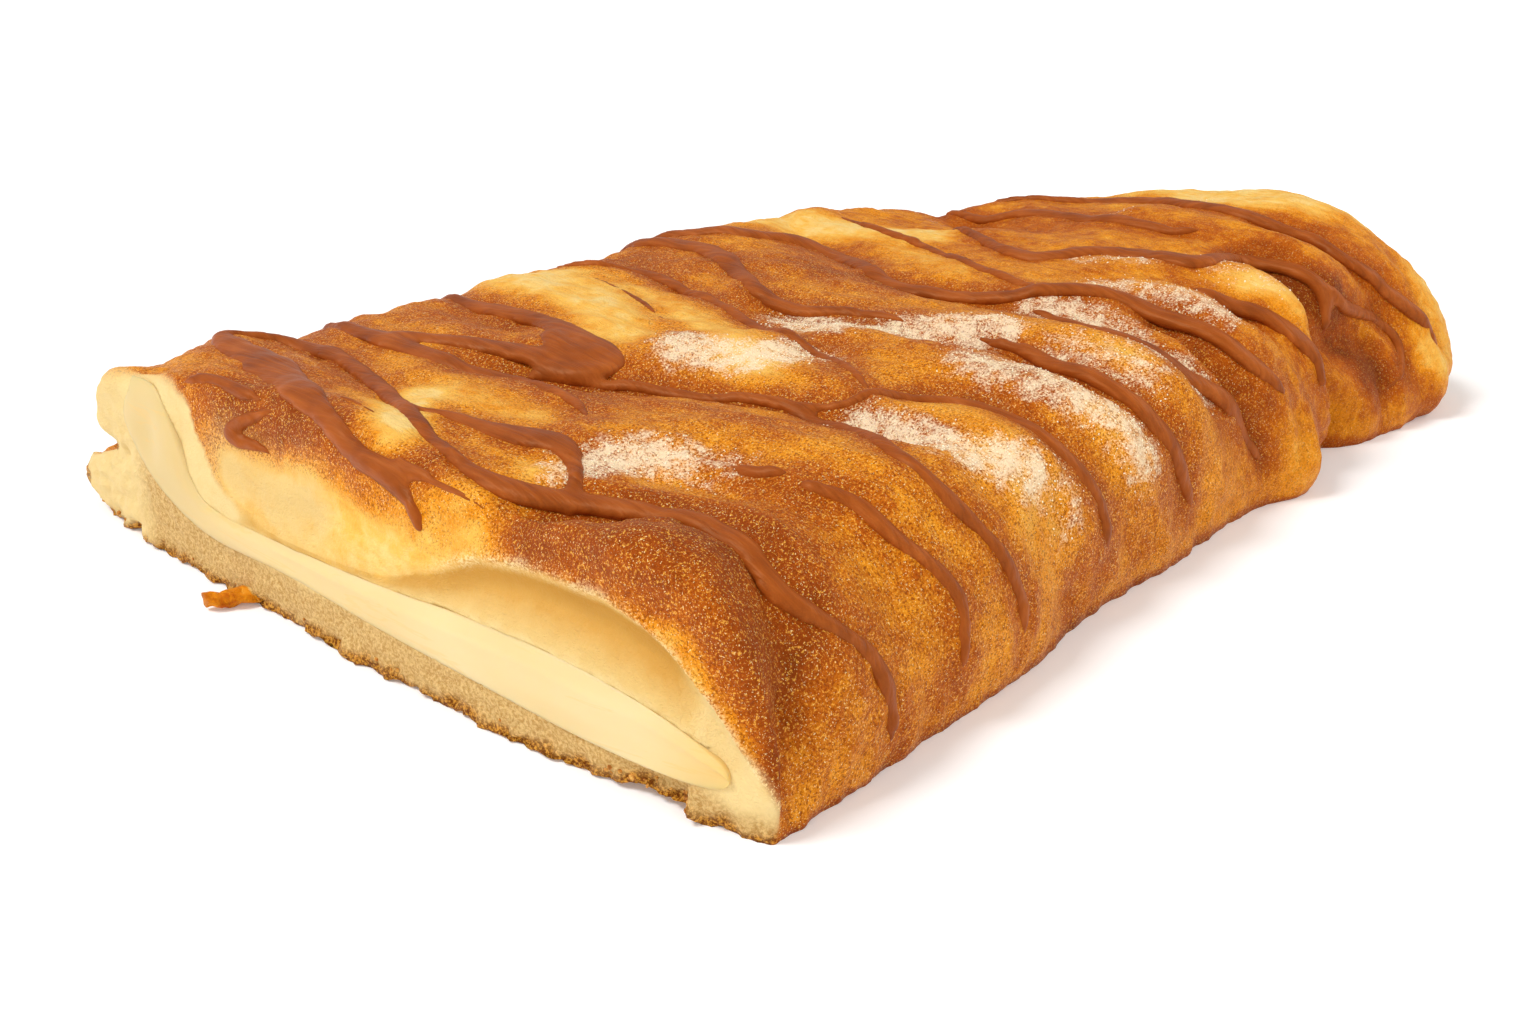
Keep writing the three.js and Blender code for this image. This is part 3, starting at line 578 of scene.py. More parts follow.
def dough_shell():
    """The crust and the cut face in cells that crowd at the cut, and where each was on the plain crust."""
    lattice, quads, base = block_shell(GRID)
    t, v, w = (lattice / np.array(GRID)).T
    u = EVEN_CELLS * t + (1 - EVEN_CELLS) * t ** CROWDING
    v = v - 0.06 * np.sin(2 * math.pi * v) / (2 * math.pi)
    y = FRONT_Y + (BACK_Y + FOOT - FRONT_Y) * v
    x = cut_edge(y) + (far_edge(y) - cut_edge(y)) * u
    border = np.stack([x, y, w * CREST], 1)
    plain = crust_through(border)
    normal = outward(plain)
    on_cut = smooth((2.4 - behind_cut(plain)) / 2.4) * smooth((-normal[:, 0] - 0.1) / 0.5)
    moved = crust_relief(plain) * (1 - on_cut) + cut_relief(plain) * on_cut
    places = plain - normal * moved[:, None]
    least = foot_lift(plain) + 0.15 * lattice[:, 2] ** 0.5
    places[:, 2] = np.where(lattice[:, 2] == 0, least, np.maximum(places[:, 2], least))
    faces = [list(q) for q in quads] + [base]
    return places, faces, plain


def cheese_edges(grow):
    """Columns across the cheese at the cut, closer at its ends, with its lower and upper edge."""
    loop = np.array(CHEESE + CHEESE[:3], float)
    line = curve_through(loop, 24)[24:-24]
    line = np.roll(line[:-1], -line[:, 0].argmin(), 0)
    turned = line[:, 0].argmax()
    lower, upper = line[:turned + 1], np.vstack([line[turned:], line[:1]])[::-1]
    turn = (1 - np.cos(math.pi * np.arange(COLUMNS + 1) / COLUMNS)) / 2
    y = lower[0, 0] + (lower[-1, 0] - lower[0, 0]) * turn
    low = np.interp(y, np.maximum.accumulate(lower[:, 0]), lower[:, 1])
    high = np.interp(y, np.maximum.accumulate(upper[:, 0]), upper[:, 1])
    spread = np.sin(math.pi * np.arange(COLUMNS + 1) / COLUMNS) ** 0.5
    return y + grow * (2 * turn - 1), low - grow * spread, high + grow * spread


def cheese_ring(grow):
    """The cheese's cross-section at the cut as one loop of places across and up."""
    y, low, high = cheese_edges(grow)
    return np.stack([np.append(y, y[-2:0:-1]), np.append(low, high[-2:0:-1])], 1)


def back_limit(x):
    """How far back the filling reaches at a place along the braid."""
    share = np.clip((FAR_X - FAR_ROUND * 0.6 - x) / SLANT, 0, 1)
    return SLANT_START_Y + share * (BACK_Y - SLANT_START_Y) - WALL_BEHIND


def cheese_section(x, grow):
    """The filling's cross-section at a place along the braid, kept inside the dough."""
    ring = cheese_ring(grow)
    front_limit = -70 + 5 * smooth((x + 103) / 14)
    roof = 27 - 9 * smooth((x + 96) / 40)
    y = np.clip(ring[:, 0], front_limit - grow, back_limit(x) + grow)
    z = np.minimum(ring[:, 1], roof + ring[:, 1] * 0.02)
    return np.stack([np.full(len(ring), float(x)), y, z], 1)


def cut_face_x(y, z):
    """Where the plain cut face is at places across and up."""
    inside, beyond = np.full(len(y), CUT_X + 25.0), np.full(len(y), CUT_X - 6.0)
    for _ in range(30):
        middle = (inside + beyond) / 2
        within = outside(np.stack([middle, y, z], 1)) < 0
        inside = np.where(within, middle, inside)
        beyond = np.where(within, beyond, middle)
    return inside


def tube_faces(rings, count):
    """The walls of a tube through that many rings of count places."""
    faces = []
    for r in range(rings - 1):
        for i in range(count):
            j = (i + 1) % count
            faces.append((r * count + i, r * count + j, (r + 1) * count + j, (r + 1) * count + i))
    return faces


def capped_tube(rings):
    """The places and faces of a tube through the rings, closed at both ends."""
    count = len(rings[0])
    faces = tube_faces(len(rings), count)
    faces.append(tuple(reversed(range(count))))
    faces.append(tuple((len(rings) - 1) * count + i for i in range(count)))
    return np.concatenate(rings), faces


def pocket_block():
    """The room for the cheese, running out past the cut."""
    stops = (CUT_X - PAST_CUT, CUT_X + 2, *BODY_STOPS, FILLING_END + SNUG)
    return capped_tube([cheese_section(x, SNUG) for x in stops])


def cheese_block():
    """The filling: a smooth swollen face at the cut and a long body behind it."""
    y, low, high = cheese_edges(FACE_PROUD)
    share = np.arange(ROWS + 1) / ROWS
    up = (0.5 - 0.5 * np.cos(math.pi * share)) * 0.6 + share * 0.4
    face_y = np.repeat(y[:, None], ROWS + 1, 1)
    face_z = low[:, None] + (high - low)[:, None] * up
    flat = np.stack([face_y.ravel() * 0, face_y.ravel(), face_z.ravel()], 1)
    flat[:, 0] = cut_face_x(flat[:, 1], flat[:, 2])
    edge = np.tile(1 - np.abs(2 * up - 1) ** 3, COLUMNS + 1)
    ends = np.repeat(1 - np.abs(2 * (y - y[0]) / (y[-1] - y[0]) - 1) ** 24, ROWS + 1)
    swollen = 0.12 + 0.75 * edge * ends * (1 - 0.8 * smooth((-46 - flat[:, 1]) / 16))
    fold = np.tile(np.exp(-(((up - 0.78) / 0.10) ** 2)), COLUMNS + 1)
    dents = 0.45 * ripples(flat, 15, stretch=(1, 1.8, 0.5), seed=12.5)
    dents += 0.05 * ripples(flat, 3, seed=14.2)
    dents -= 0.3 * fold * smooth((20 - flat[:, 1]) / 20)
    dents += 0.9 * np.exp(-(((flat[:, 1] - 46) / 3.2) ** 2) - ((flat[:, 2] - 20) / 4.0) ** 2)
    flat[:, 0] += edge * dents - swollen

    def grid_at(j, k):
        return j * (ROWS + 1) + (0 if j in (0, COLUMNS) else k)

    faces = []
    for j in range(COLUMNS):
        for k in range(ROWS):
            corners = (grid_at(j, k), grid_at(j + 1, k), grid_at(j + 1, k + 1), grid_at(j, k + 1))
            kept = tuple(dict.fromkeys(corners))
            if len(kept) > 2:
                faces.append(kept)
    rim = [grid_at(j, 0) for j in range(COLUMNS + 1)]
    rim += [grid_at(j, ROWS) for j in range(COLUMNS - 1, 0, -1)]
    ring = cheese_ring(0)
    rings = [np.stack([cut_face_x(ring[:, 0], ring[:, 1]) + 0.5, ring[:, 0], ring[:, 1]], 1)]
    rings += [cheese_section(x, 0) for x in (*BODY_STOPS, FILLING_END)]
    count, start = len(ring), len(flat)
    for i in range(count):
        j = (i + 1) % count
        faces.append((rim[i], rim[j], start + j, start + i))
    faces += [tuple(v + start for v in f) for f in tube_faces(len(rings), count)]
    faces.append([start + (len(rings) - 1) * count + i for i in range(count)])
    return np.concatenate([flat] + rings), faces


def spur_block():
    """The lick of crust that broke out at the foot of the cut."""
    spine = curve_through([(-96, 19, 1.2, 2.6), (-101, 19.5, 1.3, 2.4), (-105, 21.5, 1.4, 1.7),
                           (-108.6, 22.8, 1.5, 1.4), (-111, 24.2, 1.7, 0.9)], 5)
    sides = 16
    rings = []
    for row, (x, y, z, half) in enumerate(spine):
        turn = 2 * math.pi * np.arange(sides) / sides
        lump = 1 + 0.22 * np.sin(3 * turn + row * 0.9) + 0.12 * np.sin(5 * turn - row)
        ring_y = y + half * lump * np.cos(turn)
        ring_z = np.maximum(z + 1.1 * lump * np.sin(turn), 0.05)
        rings.append(np.stack([np.full(sides, x), ring_y, ring_z], 1))
    places, faces = capped_tube(rings)
    return places, [tuple(reversed(f)) for f in faces]      # the spine runs the other way


def face_outwards(mesh):
    """Turns every face of a closed mesh to the outside."""
    shape = bmesh.new()
    shape.from_mesh(mesh)
    bmesh.ops.recalc_face_normals(shape, faces=shape.faces)
    shape.to_mesh(mesh)
    shape.free()


def cut_with(target, tool, operation):
    """Joins the tool to the target or cuts it out, and deletes the tool."""
    modifier = target.modifiers.new("cut", "BOOLEAN")
    modifier.operation = operation
    modifier.solver = "MANIFOLD"
    modifier.object = tool
    graph = bpy.context.evaluated_depsgraph_get()
    mesh = bpy.data.meshes.new_from_object(target.evaluated_get(graph))
    target.modifiers.remove(modifier)
    target.data = mesh
    bpy.data.objects.remove(tool)


# ---------------------------------------------------------------- shader maths

class Value:
    """A shader socket that arithmetic works on; each step adds its Math node."""

    def __init__(self, paint, socket):
        self.paint = paint
        self.socket = socket

    def __add__(self, other):
        return self.paint.maths("ADD", self, other)

    __radd__ = __add__

    def __sub__(self, other):
        return self.paint.maths("SUBTRACT", self, other)

    def __rsub__(self, other):
        return self.paint.maths("SUBTRACT", other, self)

    def __mul__(self, other):
        return self.paint.maths("MULTIPLY", self, other)

    __rmul__ = __mul__


class Paint:
    """A material being built, with one method for any node."""

    def __init__(self, name):
        self.material = bpy.data.materials.new(name)
        self.material.use_nodes = True
        self.tree = self.material.node_tree
        self.tree.nodes.clear()
        place = self.node("ShaderNodeTexCoord", output="Object")
        self.mm = self.node("ShaderNodeVectorMath", {"operation": "SCALE"}, {0: place, "Scale": 1000.0})

    def node(self, kind, settings=None, inputs=None, output=0):
        made = self.tree.nodes.new(kind)
        for key, value in (settings or {}).items():
            if key == "stops":
                stops = made.color_ramp.elements
                for _ in range(len(value) - len(stops)):
                    stops.new(1.0)
                for stop, (position, colour) in zip(stops, value):
                    stop.position = position
                    stop.color = (*colour, 1)
            else:
                setattr(made, key, value)
        for key, value in (inputs or {}).items():
            socket = made.inputs[key]
            if isinstance(value, Value):
                self.tree.links.new(value.socket, socket)
            elif isinstance(value, tuple) and socket.type == "RGBA":
                socket.default_value = (*value, 1)
            else:
                socket.default_value = value
        return Value(self, made.outputs[output])

    def maths(self, operation, a, b):
        return self.node("ShaderNodeMath", {"operation": operation}, {0: a, 1: b})

    def mix(self, share, a, b):
        return self.node("ShaderNodeMix", {"data_type": "RGBA"}, {0: share, 6: a, 7: b}, output=2)

    def noise(self, size, stretch=(1, 1, 1), detail=2.0, roughness=0.5, distortion=0.0,
              offset=(0, 0, 0)):
        """Noise in lumps of about that many millimetres, longer where it is stretched."""
        where = self.node("ShaderNodeMapping", None, {
            "Vector": self.mm,
            "Location": offset,
            "Scale": tuple(1 / (size * s) for s in stretch),
        })
        inputs = {"Vector": where, "Scale": 1.0, "Detail": detail, "Roughness": roughness,
                  "Distortion": distortion}
        return self.node("ShaderNodeTexNoise", None, inputs)

    def between(self, value, low, high):
        """0 below low, 1 above high, smooth between."""
        settings = {"interpolation_type": "SMOOTHSTEP"}
        return self.node("ShaderNodeMapRange", settings, {0: value, 1: low, 2: high, 3: 0.0, 4: 1.0})

    def ramp(self, value, stops):
        return self.node("ShaderNodeValToRGB", {"stops": stops}, {0: value})

    def attribute(self, name):
        return self.node("ShaderNodeAttribute", {"attribute_name": name}, output="Fac")

    def finish(self, colour, roughness, height, bump_mm, fixed):
        """Ends the material in a Principled shader; fixed holds what is the same all over."""
        normal = self.node("ShaderNodeBump", None, {
            "Height": height, "Strength": 1.0, "Distance": bump_mm * 0.001})
        inputs = {"Base Color": colour, "Roughness": roughness, "Normal": normal, **fixed}
        shader = self.node("ShaderNodeBsdfPrincipled", None, inputs)
        end = self.tree.nodes.new("ShaderNodeOutputMaterial")
        self.tree.links.new(shader.socket, end.inputs["Surface"])
        return self.material


def srgb(red, green, blue):
    """A colour by its screen values, as the linear one that shaders take."""
    out = []
    for c in (red, green, blue):
        c /= 255
        out.append(c / 12.92 if c <= 0.04045 else ((c + 0.055) / 1.055) ** 2.4)
    return tuple(out)


def dough_material():
    paint = Paint("baked_dough")
    bake = paint.attribute("bake")
    crumb = paint.attribute("crumb")
    sugar = paint.attribute("sugar")
    broad = paint.noise(9, detail=3, roughness=0.6)
    blotch = paint.noise(2.6, detail=3, roughness=0.6, offset=(12, 4, 9))
    speck = paint.noise(0.36, detail=2, roughness=0.8)
    fine = paint.noise(0.22, detail=1, roughness=0.6, offset=(40, 10, 5))
    brushed = paint.noise(0.5, stretch=(0.7, 4, 3), detail=2, roughness=0.6)
    wrinkled = paint.noise(2.0, stretch=(0.6, 2.2, 1.2), detail=4, roughness=0.65, distortion=0.6)
    speckle = paint.attribute("speckle")
    wrinkling = (0.66 - 0.34 * speckle) * (wrinkled - 0.5)
    # The crust's colour follows its baking and the painted shade in the folds, beside the icing and in the
    # far recess.
    browned_and_shaded = bake + 0.46 * (broad - 0.5) + 0.36 * (blotch - 0.5) + wrinkling
    crust = paint.ramp(browned_and_shaded, [
        (0.0, srgb(244, 206, 126)), (0.14, srgb(243, 187, 84)), (0.38, srgb(228, 142, 22)),
        (0.60, srgb(182, 88, 8)), (0.80, srgb(152, 64, 8)), (1.0, srgb(122, 46, 4))])
    crust = paint.mix(0.7 * paint.attribute("beige"), crust, srgb(214, 180, 116))
    grainy = paint.between(bake, 0.08, 0.45) * speckle
    fleck = paint.between(speck, 0.55, 0.66) * grainy
    pit = paint.between(speck, 0.48, 0.38) * grainy
    flecked = paint.mix(0.66 * fleck, crust, srgb(250, 186, 76))
    flecked = paint.mix(0.80 * pit, flecked, srgb(134, 56, 2))
    # Painted highlights: tiny pale glints in the colour of the baked crust.
    glint = paint.between(fine, 0.66, 0.72) * grainy
    flecked = paint.mix(0.8 * glint, flecked, srgb(255, 232, 170))

    grain = paint.noise(0.5, detail=3, roughness=0.7, offset=(7, 3, 1))
    inside = paint.mix(paint.between(grain, 0.32, 0.7), srgb(184, 140, 76), srgb(224, 190, 128))
    toasted = paint.mix(paint.between(grain, 0.42, 0.62), srgb(112, 56, 6), srgb(214, 150, 54))
    # Cut dough between rim and cheese, with painted shade: a darker band just under the rim, paler towards
    # the cheese and at both ends of the cut.
    pale = paint.ramp(paint.attribute("under_crust") + 0.25 * (blotch - 0.5), [
        (0.0, srgb(232, 188, 108)), (0.16, srgb(204, 148, 62)), (0.5, srgb(210, 160, 80)),
        (0.85, srgb(226, 190, 120)), (1.0, srgb(234, 206, 144))])
    inside = paint.mix(paint.attribute("creamy"), inside, pale)
    inside = paint.mix(paint.attribute("toasted"), inside, toasted)
    colour = paint.mix(crumb, flecked, inside)
    flake = paint.attribute("flaky") * paint.between(speck + 0.5 * blotch, 0.68, 0.86)
    colour = paint.mix(0.8 * flake, colour, srgb(255, 232, 176))

    dusting = sugar + 1.3 * (speck - 0.5) + 1.3 * (blotch - 0.5)
    powder = paint.between(dusting, 0.30, 0.80) * paint.between(sugar, 0.0, 0.25)
    colour = paint.mix(0.85 * powder, colour, srgb(250, 228, 192))

    roughness = paint.node("ShaderNodeMix", {"data_type": "FLOAT"}, {
        0: crumb, 2: 0.5 - 0.12 * fleck + 0.3 * powder, 3: 0.62})
    height = 0.45 * speck + 0.15 * fine + 0.35 * brushed + 0.3 * crumb * grain
    height = height + (1 - crumb) * (0.9 * wrinkled + 0.5 * blotch)
    return paint.finish(colour, roughness, height, 0.5, {
        "Subsurface Weight": 0.10, "Subsurface Radius": (1.0, 0.5, 0.2), "Subsurface Scale": 0.0012,
        "Specular IOR Level": 0.24, "Specular Tint": (1.0, 0.56, 0.18)})


def cheese_material():
    paint = Paint("cheese")
    veil = paint.noise(16, stretch=(1, 2.4, 0.6), detail=2, roughness=0.5)
    streak = paint.noise(6, stretch=(1, 4, 0.4), detail=4, roughness=0.6, distortion=0.8)
    body = paint.mix(paint.between(veil, 0.35, 0.7), srgb(224, 196, 138), srgb(232, 208, 156))
    vein = paint.between(streak, 0.60, 0.64) * paint.between(streak, 0.69, 0.65)
    across = paint.node("ShaderNodeSeparateXYZ", None, {0: paint.mm}, output="Y")
    body = paint.mix(paint.between(across, -54, -68), body, srgb(226, 190, 118))
    # Painted shade: the cheese's face is darker towards its back end, from 14 to 44 mm across.
    body = paint.mix(0.8 * paint.between(across, 14, 44), body, srgb(208, 180, 120))
    colour = paint.mix(0.22 * vein, body, srgb(232, 182, 92))
    height = 0.5 * veil + 0.2 * streak + 0.06 * paint.noise(1.1, detail=2)
    return paint.finish(colour, 0.44 + 0.1 * veil, height, 0.25, {
        "Subsurface Weight": 0.3, "Subsurface Radius": (1.0, 0.6, 0.25), "Subsurface Scale": 0.003,
        "Specular IOR Level": 0.3})


def icing_material():
    paint = Paint("chocolate_icing")
    dragged = paint.noise(0.9, stretch=(0.8, 11, 3), detail=3, roughness=0.6, distortion=0.3)
    cloud = paint.noise(7, detail=2)
    tone = 0.55 * dragged + 0.45 * cloud
    colour = paint.ramp(tone, [
        (0.25, srgb(112, 48, 10)), (0.5, srgb(150, 72, 20)), (0.75, srgb(178, 94, 36))])
    height = 0.7 * dragged + 0.3 * paint.noise(2.5, stretch=(0.8, 3, 1.5))
    return paint.finish(colour, 0.38 + 0.14 * cloud, height, 0.30, {
        "Specular IOR Level": 0.3, "Specular Tint": (1.0, 0.58, 0.28), "Subsurface Weight": 0.05,
        "Subsurface Scale": 0.001})


def grain_material():
    paint = Paint("sugar")
    shade = paint.noise(1.2)
    colour = paint.mix(shade, srgb(252, 226, 180), srgb(255, 246, 226))
    return paint.finish(colour, 0.45 + 0.1 * shade, shade, 0.1, {
        "Subsurface Weight": 0.2, "Subsurface Scale": 0.001})


def crumb_material():
    paint = Paint("toasted_crumb")
    grain = paint.noise(1.3, detail=3, roughness=0.7)
    colour = paint.ramp(grain, [
        (0.3, srgb(124, 66, 10)), (0.48, srgb(192, 124, 38)), (0.62, srgb(226, 172, 84)),
        (0.78, srgb(240, 206, 136))])
    return paint.finish(colour, 0.7 + 0.1 * grain, paint.noise(0.5), 0.3, {
        "Subsurface Weight": 0.1, "Subsurface Scale": 0.001})


def floor_material():
    paint = Paint("pale_floor")
    away = paint.node("ShaderNodeVectorMath", {"operation": "LENGTH"}, {0: paint.mm}, output="Value")
    # Painted light: the floor glows, weakly within about 130 mm of the middle and strongly beyond 420 mm, so
    # it reads white away from the piece.
    glow = paint.mix(paint.between(away, 130, 420), (0.10, 0.10, 0.10), (0.6, 0.6, 0.6))
    tone = paint.noise(400)
    colour = paint.mix(tone, (0.93, 0.93, 0.93), (0.95, 0.95, 0.95))
    return paint.finish(colour, 0.9 + 0.02 * tone, tone, 0.01, {
        "Specular IOR Level": 0.1, "Emission Color": glow, "Emission Strength": 1.0})


# ---------------------------------------------------------------- what grows on a surface

class Growth:
    """A Geometry Nodes tree being built, with named inputs."""

    def __init__(self, name, sizes):
        self.tree = bpy.data.node_groups.new(name, "GeometryNodeTree")
        face = self.tree.interface
        face.new_socket(name="Surface", in_out="INPUT", socket_type="NodeSocketGeometry")
        for label, kind in sizes.items():
            face.new_socket(name=label, in_out="INPUT", socket_type=kind)
        face.new_socket(name="Grown", in_out="OUTPUT", socket_type="NodeSocketGeometry")
        self.start = self.tree.nodes.new("NodeGroupInput")

    def given(self, name):
        return self.start.outputs[name]

    def node(self, kind, settings=None, inputs=None, output=0):
        made = self.tree.nodes.new(kind)
        for key, value in (settings or {}).items():
            setattr(made, key, value)
        for key, value in (inputs or {}).items():
            if isinstance(value, bpy.types.NodeSocket):
                self.tree.links.new(value, made.inputs[key])
            else:
                made.inputs[key].default_value = value
        return made.outputs[output]

    def finish(self, geometry):
        real = self.node("GeometryNodeRealizeInstances", None, {0: geometry})
        painted = self.node("GeometryNodeSetMaterial", None, {
            "Geometry": real, "Material": self.given("Material")})
        end = self.tree.nodes.new("NodeGroupOutput")
        self.tree.links.new(painted, end.inputs[0])
        return self.tree


def grow(name, source, tree, values):
    """Runs the tree on source and keeps the result as a plain mesh of its own."""
    modifier = source.modifiers.new(name, "NODES")
    modifier.node_group = tree
    for item in tree.interface.items_tree:
        if item.in_out == "INPUT" and item.name in values:
            modifier[item.identifier] = values[item.name]
    graph = bpy.context.evaluated_depsgraph_get()
    mesh = bpy.data.meshes.new_from_object(source.evaluated_get(graph))
    source.modifiers.remove(modifier)
    made = bpy.data.objects.new(name, mesh)
    mesh.name = name
    bpy.context.scene.collection.objects.link(made)
    return made


def scatter_tree(name, chips):
    """Chips strewn over a surface, thickest where its attribute is high."""
    growth = Growth(name, {
        "Density": "NodeSocketFloat", "Smallest": "NodeSocketFloat", "Largest": "NodeSocketFloat",
        "Seed": "NodeSocketInt", "Material": "NodeSocketMaterial"})
    share = growth.node("GeometryNodeInputNamedAttribute", {"data_type": "FLOAT"}, {"Name": chips})
    seed = growth.given("Seed")
    density = growth.node("ShaderNodeMath", {"operation": "MULTIPLY"}, {
        0: share, 1: growth.given("Density")})
    points = growth.node("GeometryNodeDistributePointsOnFaces", {"distribute_method": "RANDOM"}, {
        "Mesh": growth.given("Surface"), "Density": density, "Seed": seed})
    chip = growth.node("GeometryNodeMeshIcoSphere", None, {"Radius": 1.0, "Subdivisions": 1})
    turn = growth.node("FunctionNodeRandomValue", {"data_type": "FLOAT_VECTOR"}, {
        0: (0.0, 0.0, 0.0), 1: (6.28, 6.28, 6.28), "Seed": seed})
    size = growth.node("FunctionNodeRandomValue", {"data_type": "FLOAT"}, {
        2: growth.given("Smallest"), 3: growth.given("Largest"), "Seed": seed}, output=1)
    squash = growth.node("FunctionNodeRandomValue", {"data_type": "FLOAT_VECTOR"}, {
        0: (0.6, 0.6, 0.45), 1: (1.3, 1.1, 0.9), "Seed": seed})
    scale = growth.node("ShaderNodeVectorMath", {"operation": "SCALE"}, {0: squash, "Scale": size})
    placed = growth.node("GeometryNodeInstanceOnPoints", None, {
        "Points": points, "Instance": chip, "Rotation": turn, "Scale": scale})
    return growth.finish(placed)


def icing_tree():
    """Beads at each place of a route, melted into one skin and smoothed."""
    growth = Growth("melted_beads", {
        "Voxel": "NodeSocketFloat", "Smoothing": "NodeSocketInt", "Material": "NodeSocketMaterial"})
    radius = growth.node("GeometryNodeInputNamedAttribute", {"data_type": "FLOAT"}, {"Name": "bead"})
    points = growth.node("GeometryNodeMeshToPoints", None, {
        "Mesh": growth.given("Surface"), "Radius": radius})
    volume = growth.node("GeometryNodePointsToVolume", {"resolution_mode": "VOXEL_SIZE"}, {
        "Points": points, "Voxel Size": growth.given("Voxel"), "Radius": radius})
    skin = growth.node("GeometryNodeVolumeToMesh", {"resolution_mode": "VOXEL_SIZE"}, {
        "Volume": volume, "Voxel Size": growth.given("Voxel"), "Threshold": 0.1})
    place = growth.node("GeometryNodeInputPosition")
    blurred = growth.node("GeometryNodeBlurAttribute", {"data_type": "FLOAT_VECTOR"}, {
        "Value": place, "Iterations": growth.given("Smoothing")})
    settled = growth.node("GeometryNodeSetPosition", None, {"Geometry": skin, "Position": blurred})
    even = growth.node("GeometryNodeSetShadeSmooth", None, {"Geometry": settled})
    return growth.finish(even)


def bead_places(crust):
    """Beads of icing along every route, laid on the crust."""
    places, sizes = [], []
    for number, route in enumerate(ICING):
        line = curve_through(route, 18)
        steps = np.linalg.norm(np.diff(line[:, :3], axis=0), axis=1)
        run = np.concatenate([[0], np.cumsum(steps)])
        at = np.arange(0, run[-1], BEAD_STEP)
        path = np.stack([np.interp(at, run, line[:, c]) for c in range(4)], 1)
        wander = ripples(np.stack([at, at * 0, at * 0 + number * 9.0], 1), 8, seed=20.5)
        girth = 0.84 + 0.36 * smooth((path[:, 0] + 60) / 90)
        half = np.maximum(girth * path[:, 3] * (1 + 0.18 * wander), SMALLEST_BEAD)
        heart = heart_of(path[:, :3])
        heart[:, 0] = np.clip(path[:, 0], CUT_X + AIM_IN, far_edge(path[:, 1]) - FAR_ROUND)
        spots, widths = [], []
        for place, centre, wide in zip(path[:, :3], heart, half):
            ray = place - centre
            hit = crust.ray_cast(Vector(to_row(centre + 1.6 * ray)), -Vector(ray).normalized())[0]
            if hit is not None:
                spots.append(np.array(hit) * 1000 - SHIFT)
                widths.append(wide)
        padded = np.pad(np.array(spots), ((EVENED, EVENED), (0, 0)), "edge")
        window = 2 * EVENED + 1
        spots = sum(padded[i:i + len(spots)] for i in range(window)) / window
        normals = outward(spots)
        across = np.cross(normals, np.gradient(spots, axis=0))
        across /= np.maximum(np.linalg.norm(across, axis=1, keepdims=True), 1e-9)
        for spot, normal, side, wide in zip(spots, normals, across, widths):
            bead = min(wide, LARGEST_BEAD) * 0.95
            spread = wide - bead
            sunk = 0.12 + 0.12 * bead
            rows = 1 if spread < 0.15 else 2 + int(spread / ROW_GAP)
            for s in np.linspace(-1, 1, rows) if rows > 1 else (0,):
                places.append(spot + side * s * spread - normal * sunk)
                sizes.append(bead * (1 - 0.2 * s * s))
    return np.array(places), np.array(sizes)


# ---------------------------------------------------------------- the pieces

def build_dough():
    """The dough with its lick and pocket, its places and where they lay on the plain crust.

    Two marks follow: on the places that the joining and cutting made, and on those of the lick.
    """
    places, faces, plain = dough_shell()
    dough = mesh_object("dough", places, faces, dough_material())
    lick_places, lick_faces = spur_block()
    lick = mesh_object("lick", lick_places, lick_faces)
    pocket = mesh_object("pocket", *pocket_block())
    for made in (dough, lick, pocket):
        face_outwards(made.data)
    cut_with(dough, lick, "UNION")
    cut_with(dough, pocket, "DIFFERENCE")
    surface = places_of(dough.data)
    row, from_shell = nearest_rows(places, surface)
    from_lick = nearest_rows(lick_places, surface)[1]
    new = from_shell > SAME
    settled = np.where(new[:, None], surface, plain[row])
    return dough, surface, settled, new, new & (from_lick < SAME)


def bake_and_shade_at(settled, on_lick):
    """How dark each place is baked, with painted shade in the folds, beside the icing and in the far recess,
    from 0 to 1.
    """
    x, y, z = settled.T
    # Painted shade: the crust is painted darker in the folds between the strips, darker where a fold is
    # deeper.
    bake = EVEN_BAKE + FOLD_SHADE * fold_depth(settled)
    for amount, reach, route in BAKE_AND_SHADE:
        bake += amount * smooth(closeness(settled, route, reach))
    pale_run = np.interp(y, PALE_Y, PALE_RUN)
    bake *= 0.12 + 0.88 * smooth(behind_cut(settled) / pale_run + 0.15 * ripples(settled, 6, seed=31.0))
    bake += SOLE_BAKE * smooth((2.0 - z) / 2.0)
    # Painted shade: a darker halo on the crust around every line of icing, reaching 3.2 mm past its widest
    # half.
    icing_shade_nearness = np.zeros(len(settled))
    for route in ICING:
        line = [place[:3] for place in route]
        width = max(place[3] for place in route)
        icing_shade_nearness = np.maximum(icing_shade_nearness, closeness(settled, line, width + 3.2))
    bake += ICING_SHADE * smooth(icing_shade_nearness * 1.6)
    bake[on_lick] = LICK_BAKE
    darkest = 0.82 + 0.18 * smooth(x / 40)
    lightest = 0.10 * smooth((x + 96) / 12)
    return np.clip(bake, lightest, darkest)


def under_rim_shade_share(settled):
    """0 at the crust's rim over the cut, 1 at the cheese and at both ends of the cut; it places the painted
    shade in the hollow under the rim.
    """
    _, y, z = settled.T
    cheese_y, _, cheese_top = cheese_edges(0)
    rim = rim_height(y)
    pale = np.clip((rim - z) / np.maximum(rim - np.interp(y, cheese_y, cheese_top), 1), 0, 1)
    pale = np.maximum(pale, smooth((y - 14) / 10))
    return np.maximum(pale, smooth((-57 - y) / 8))


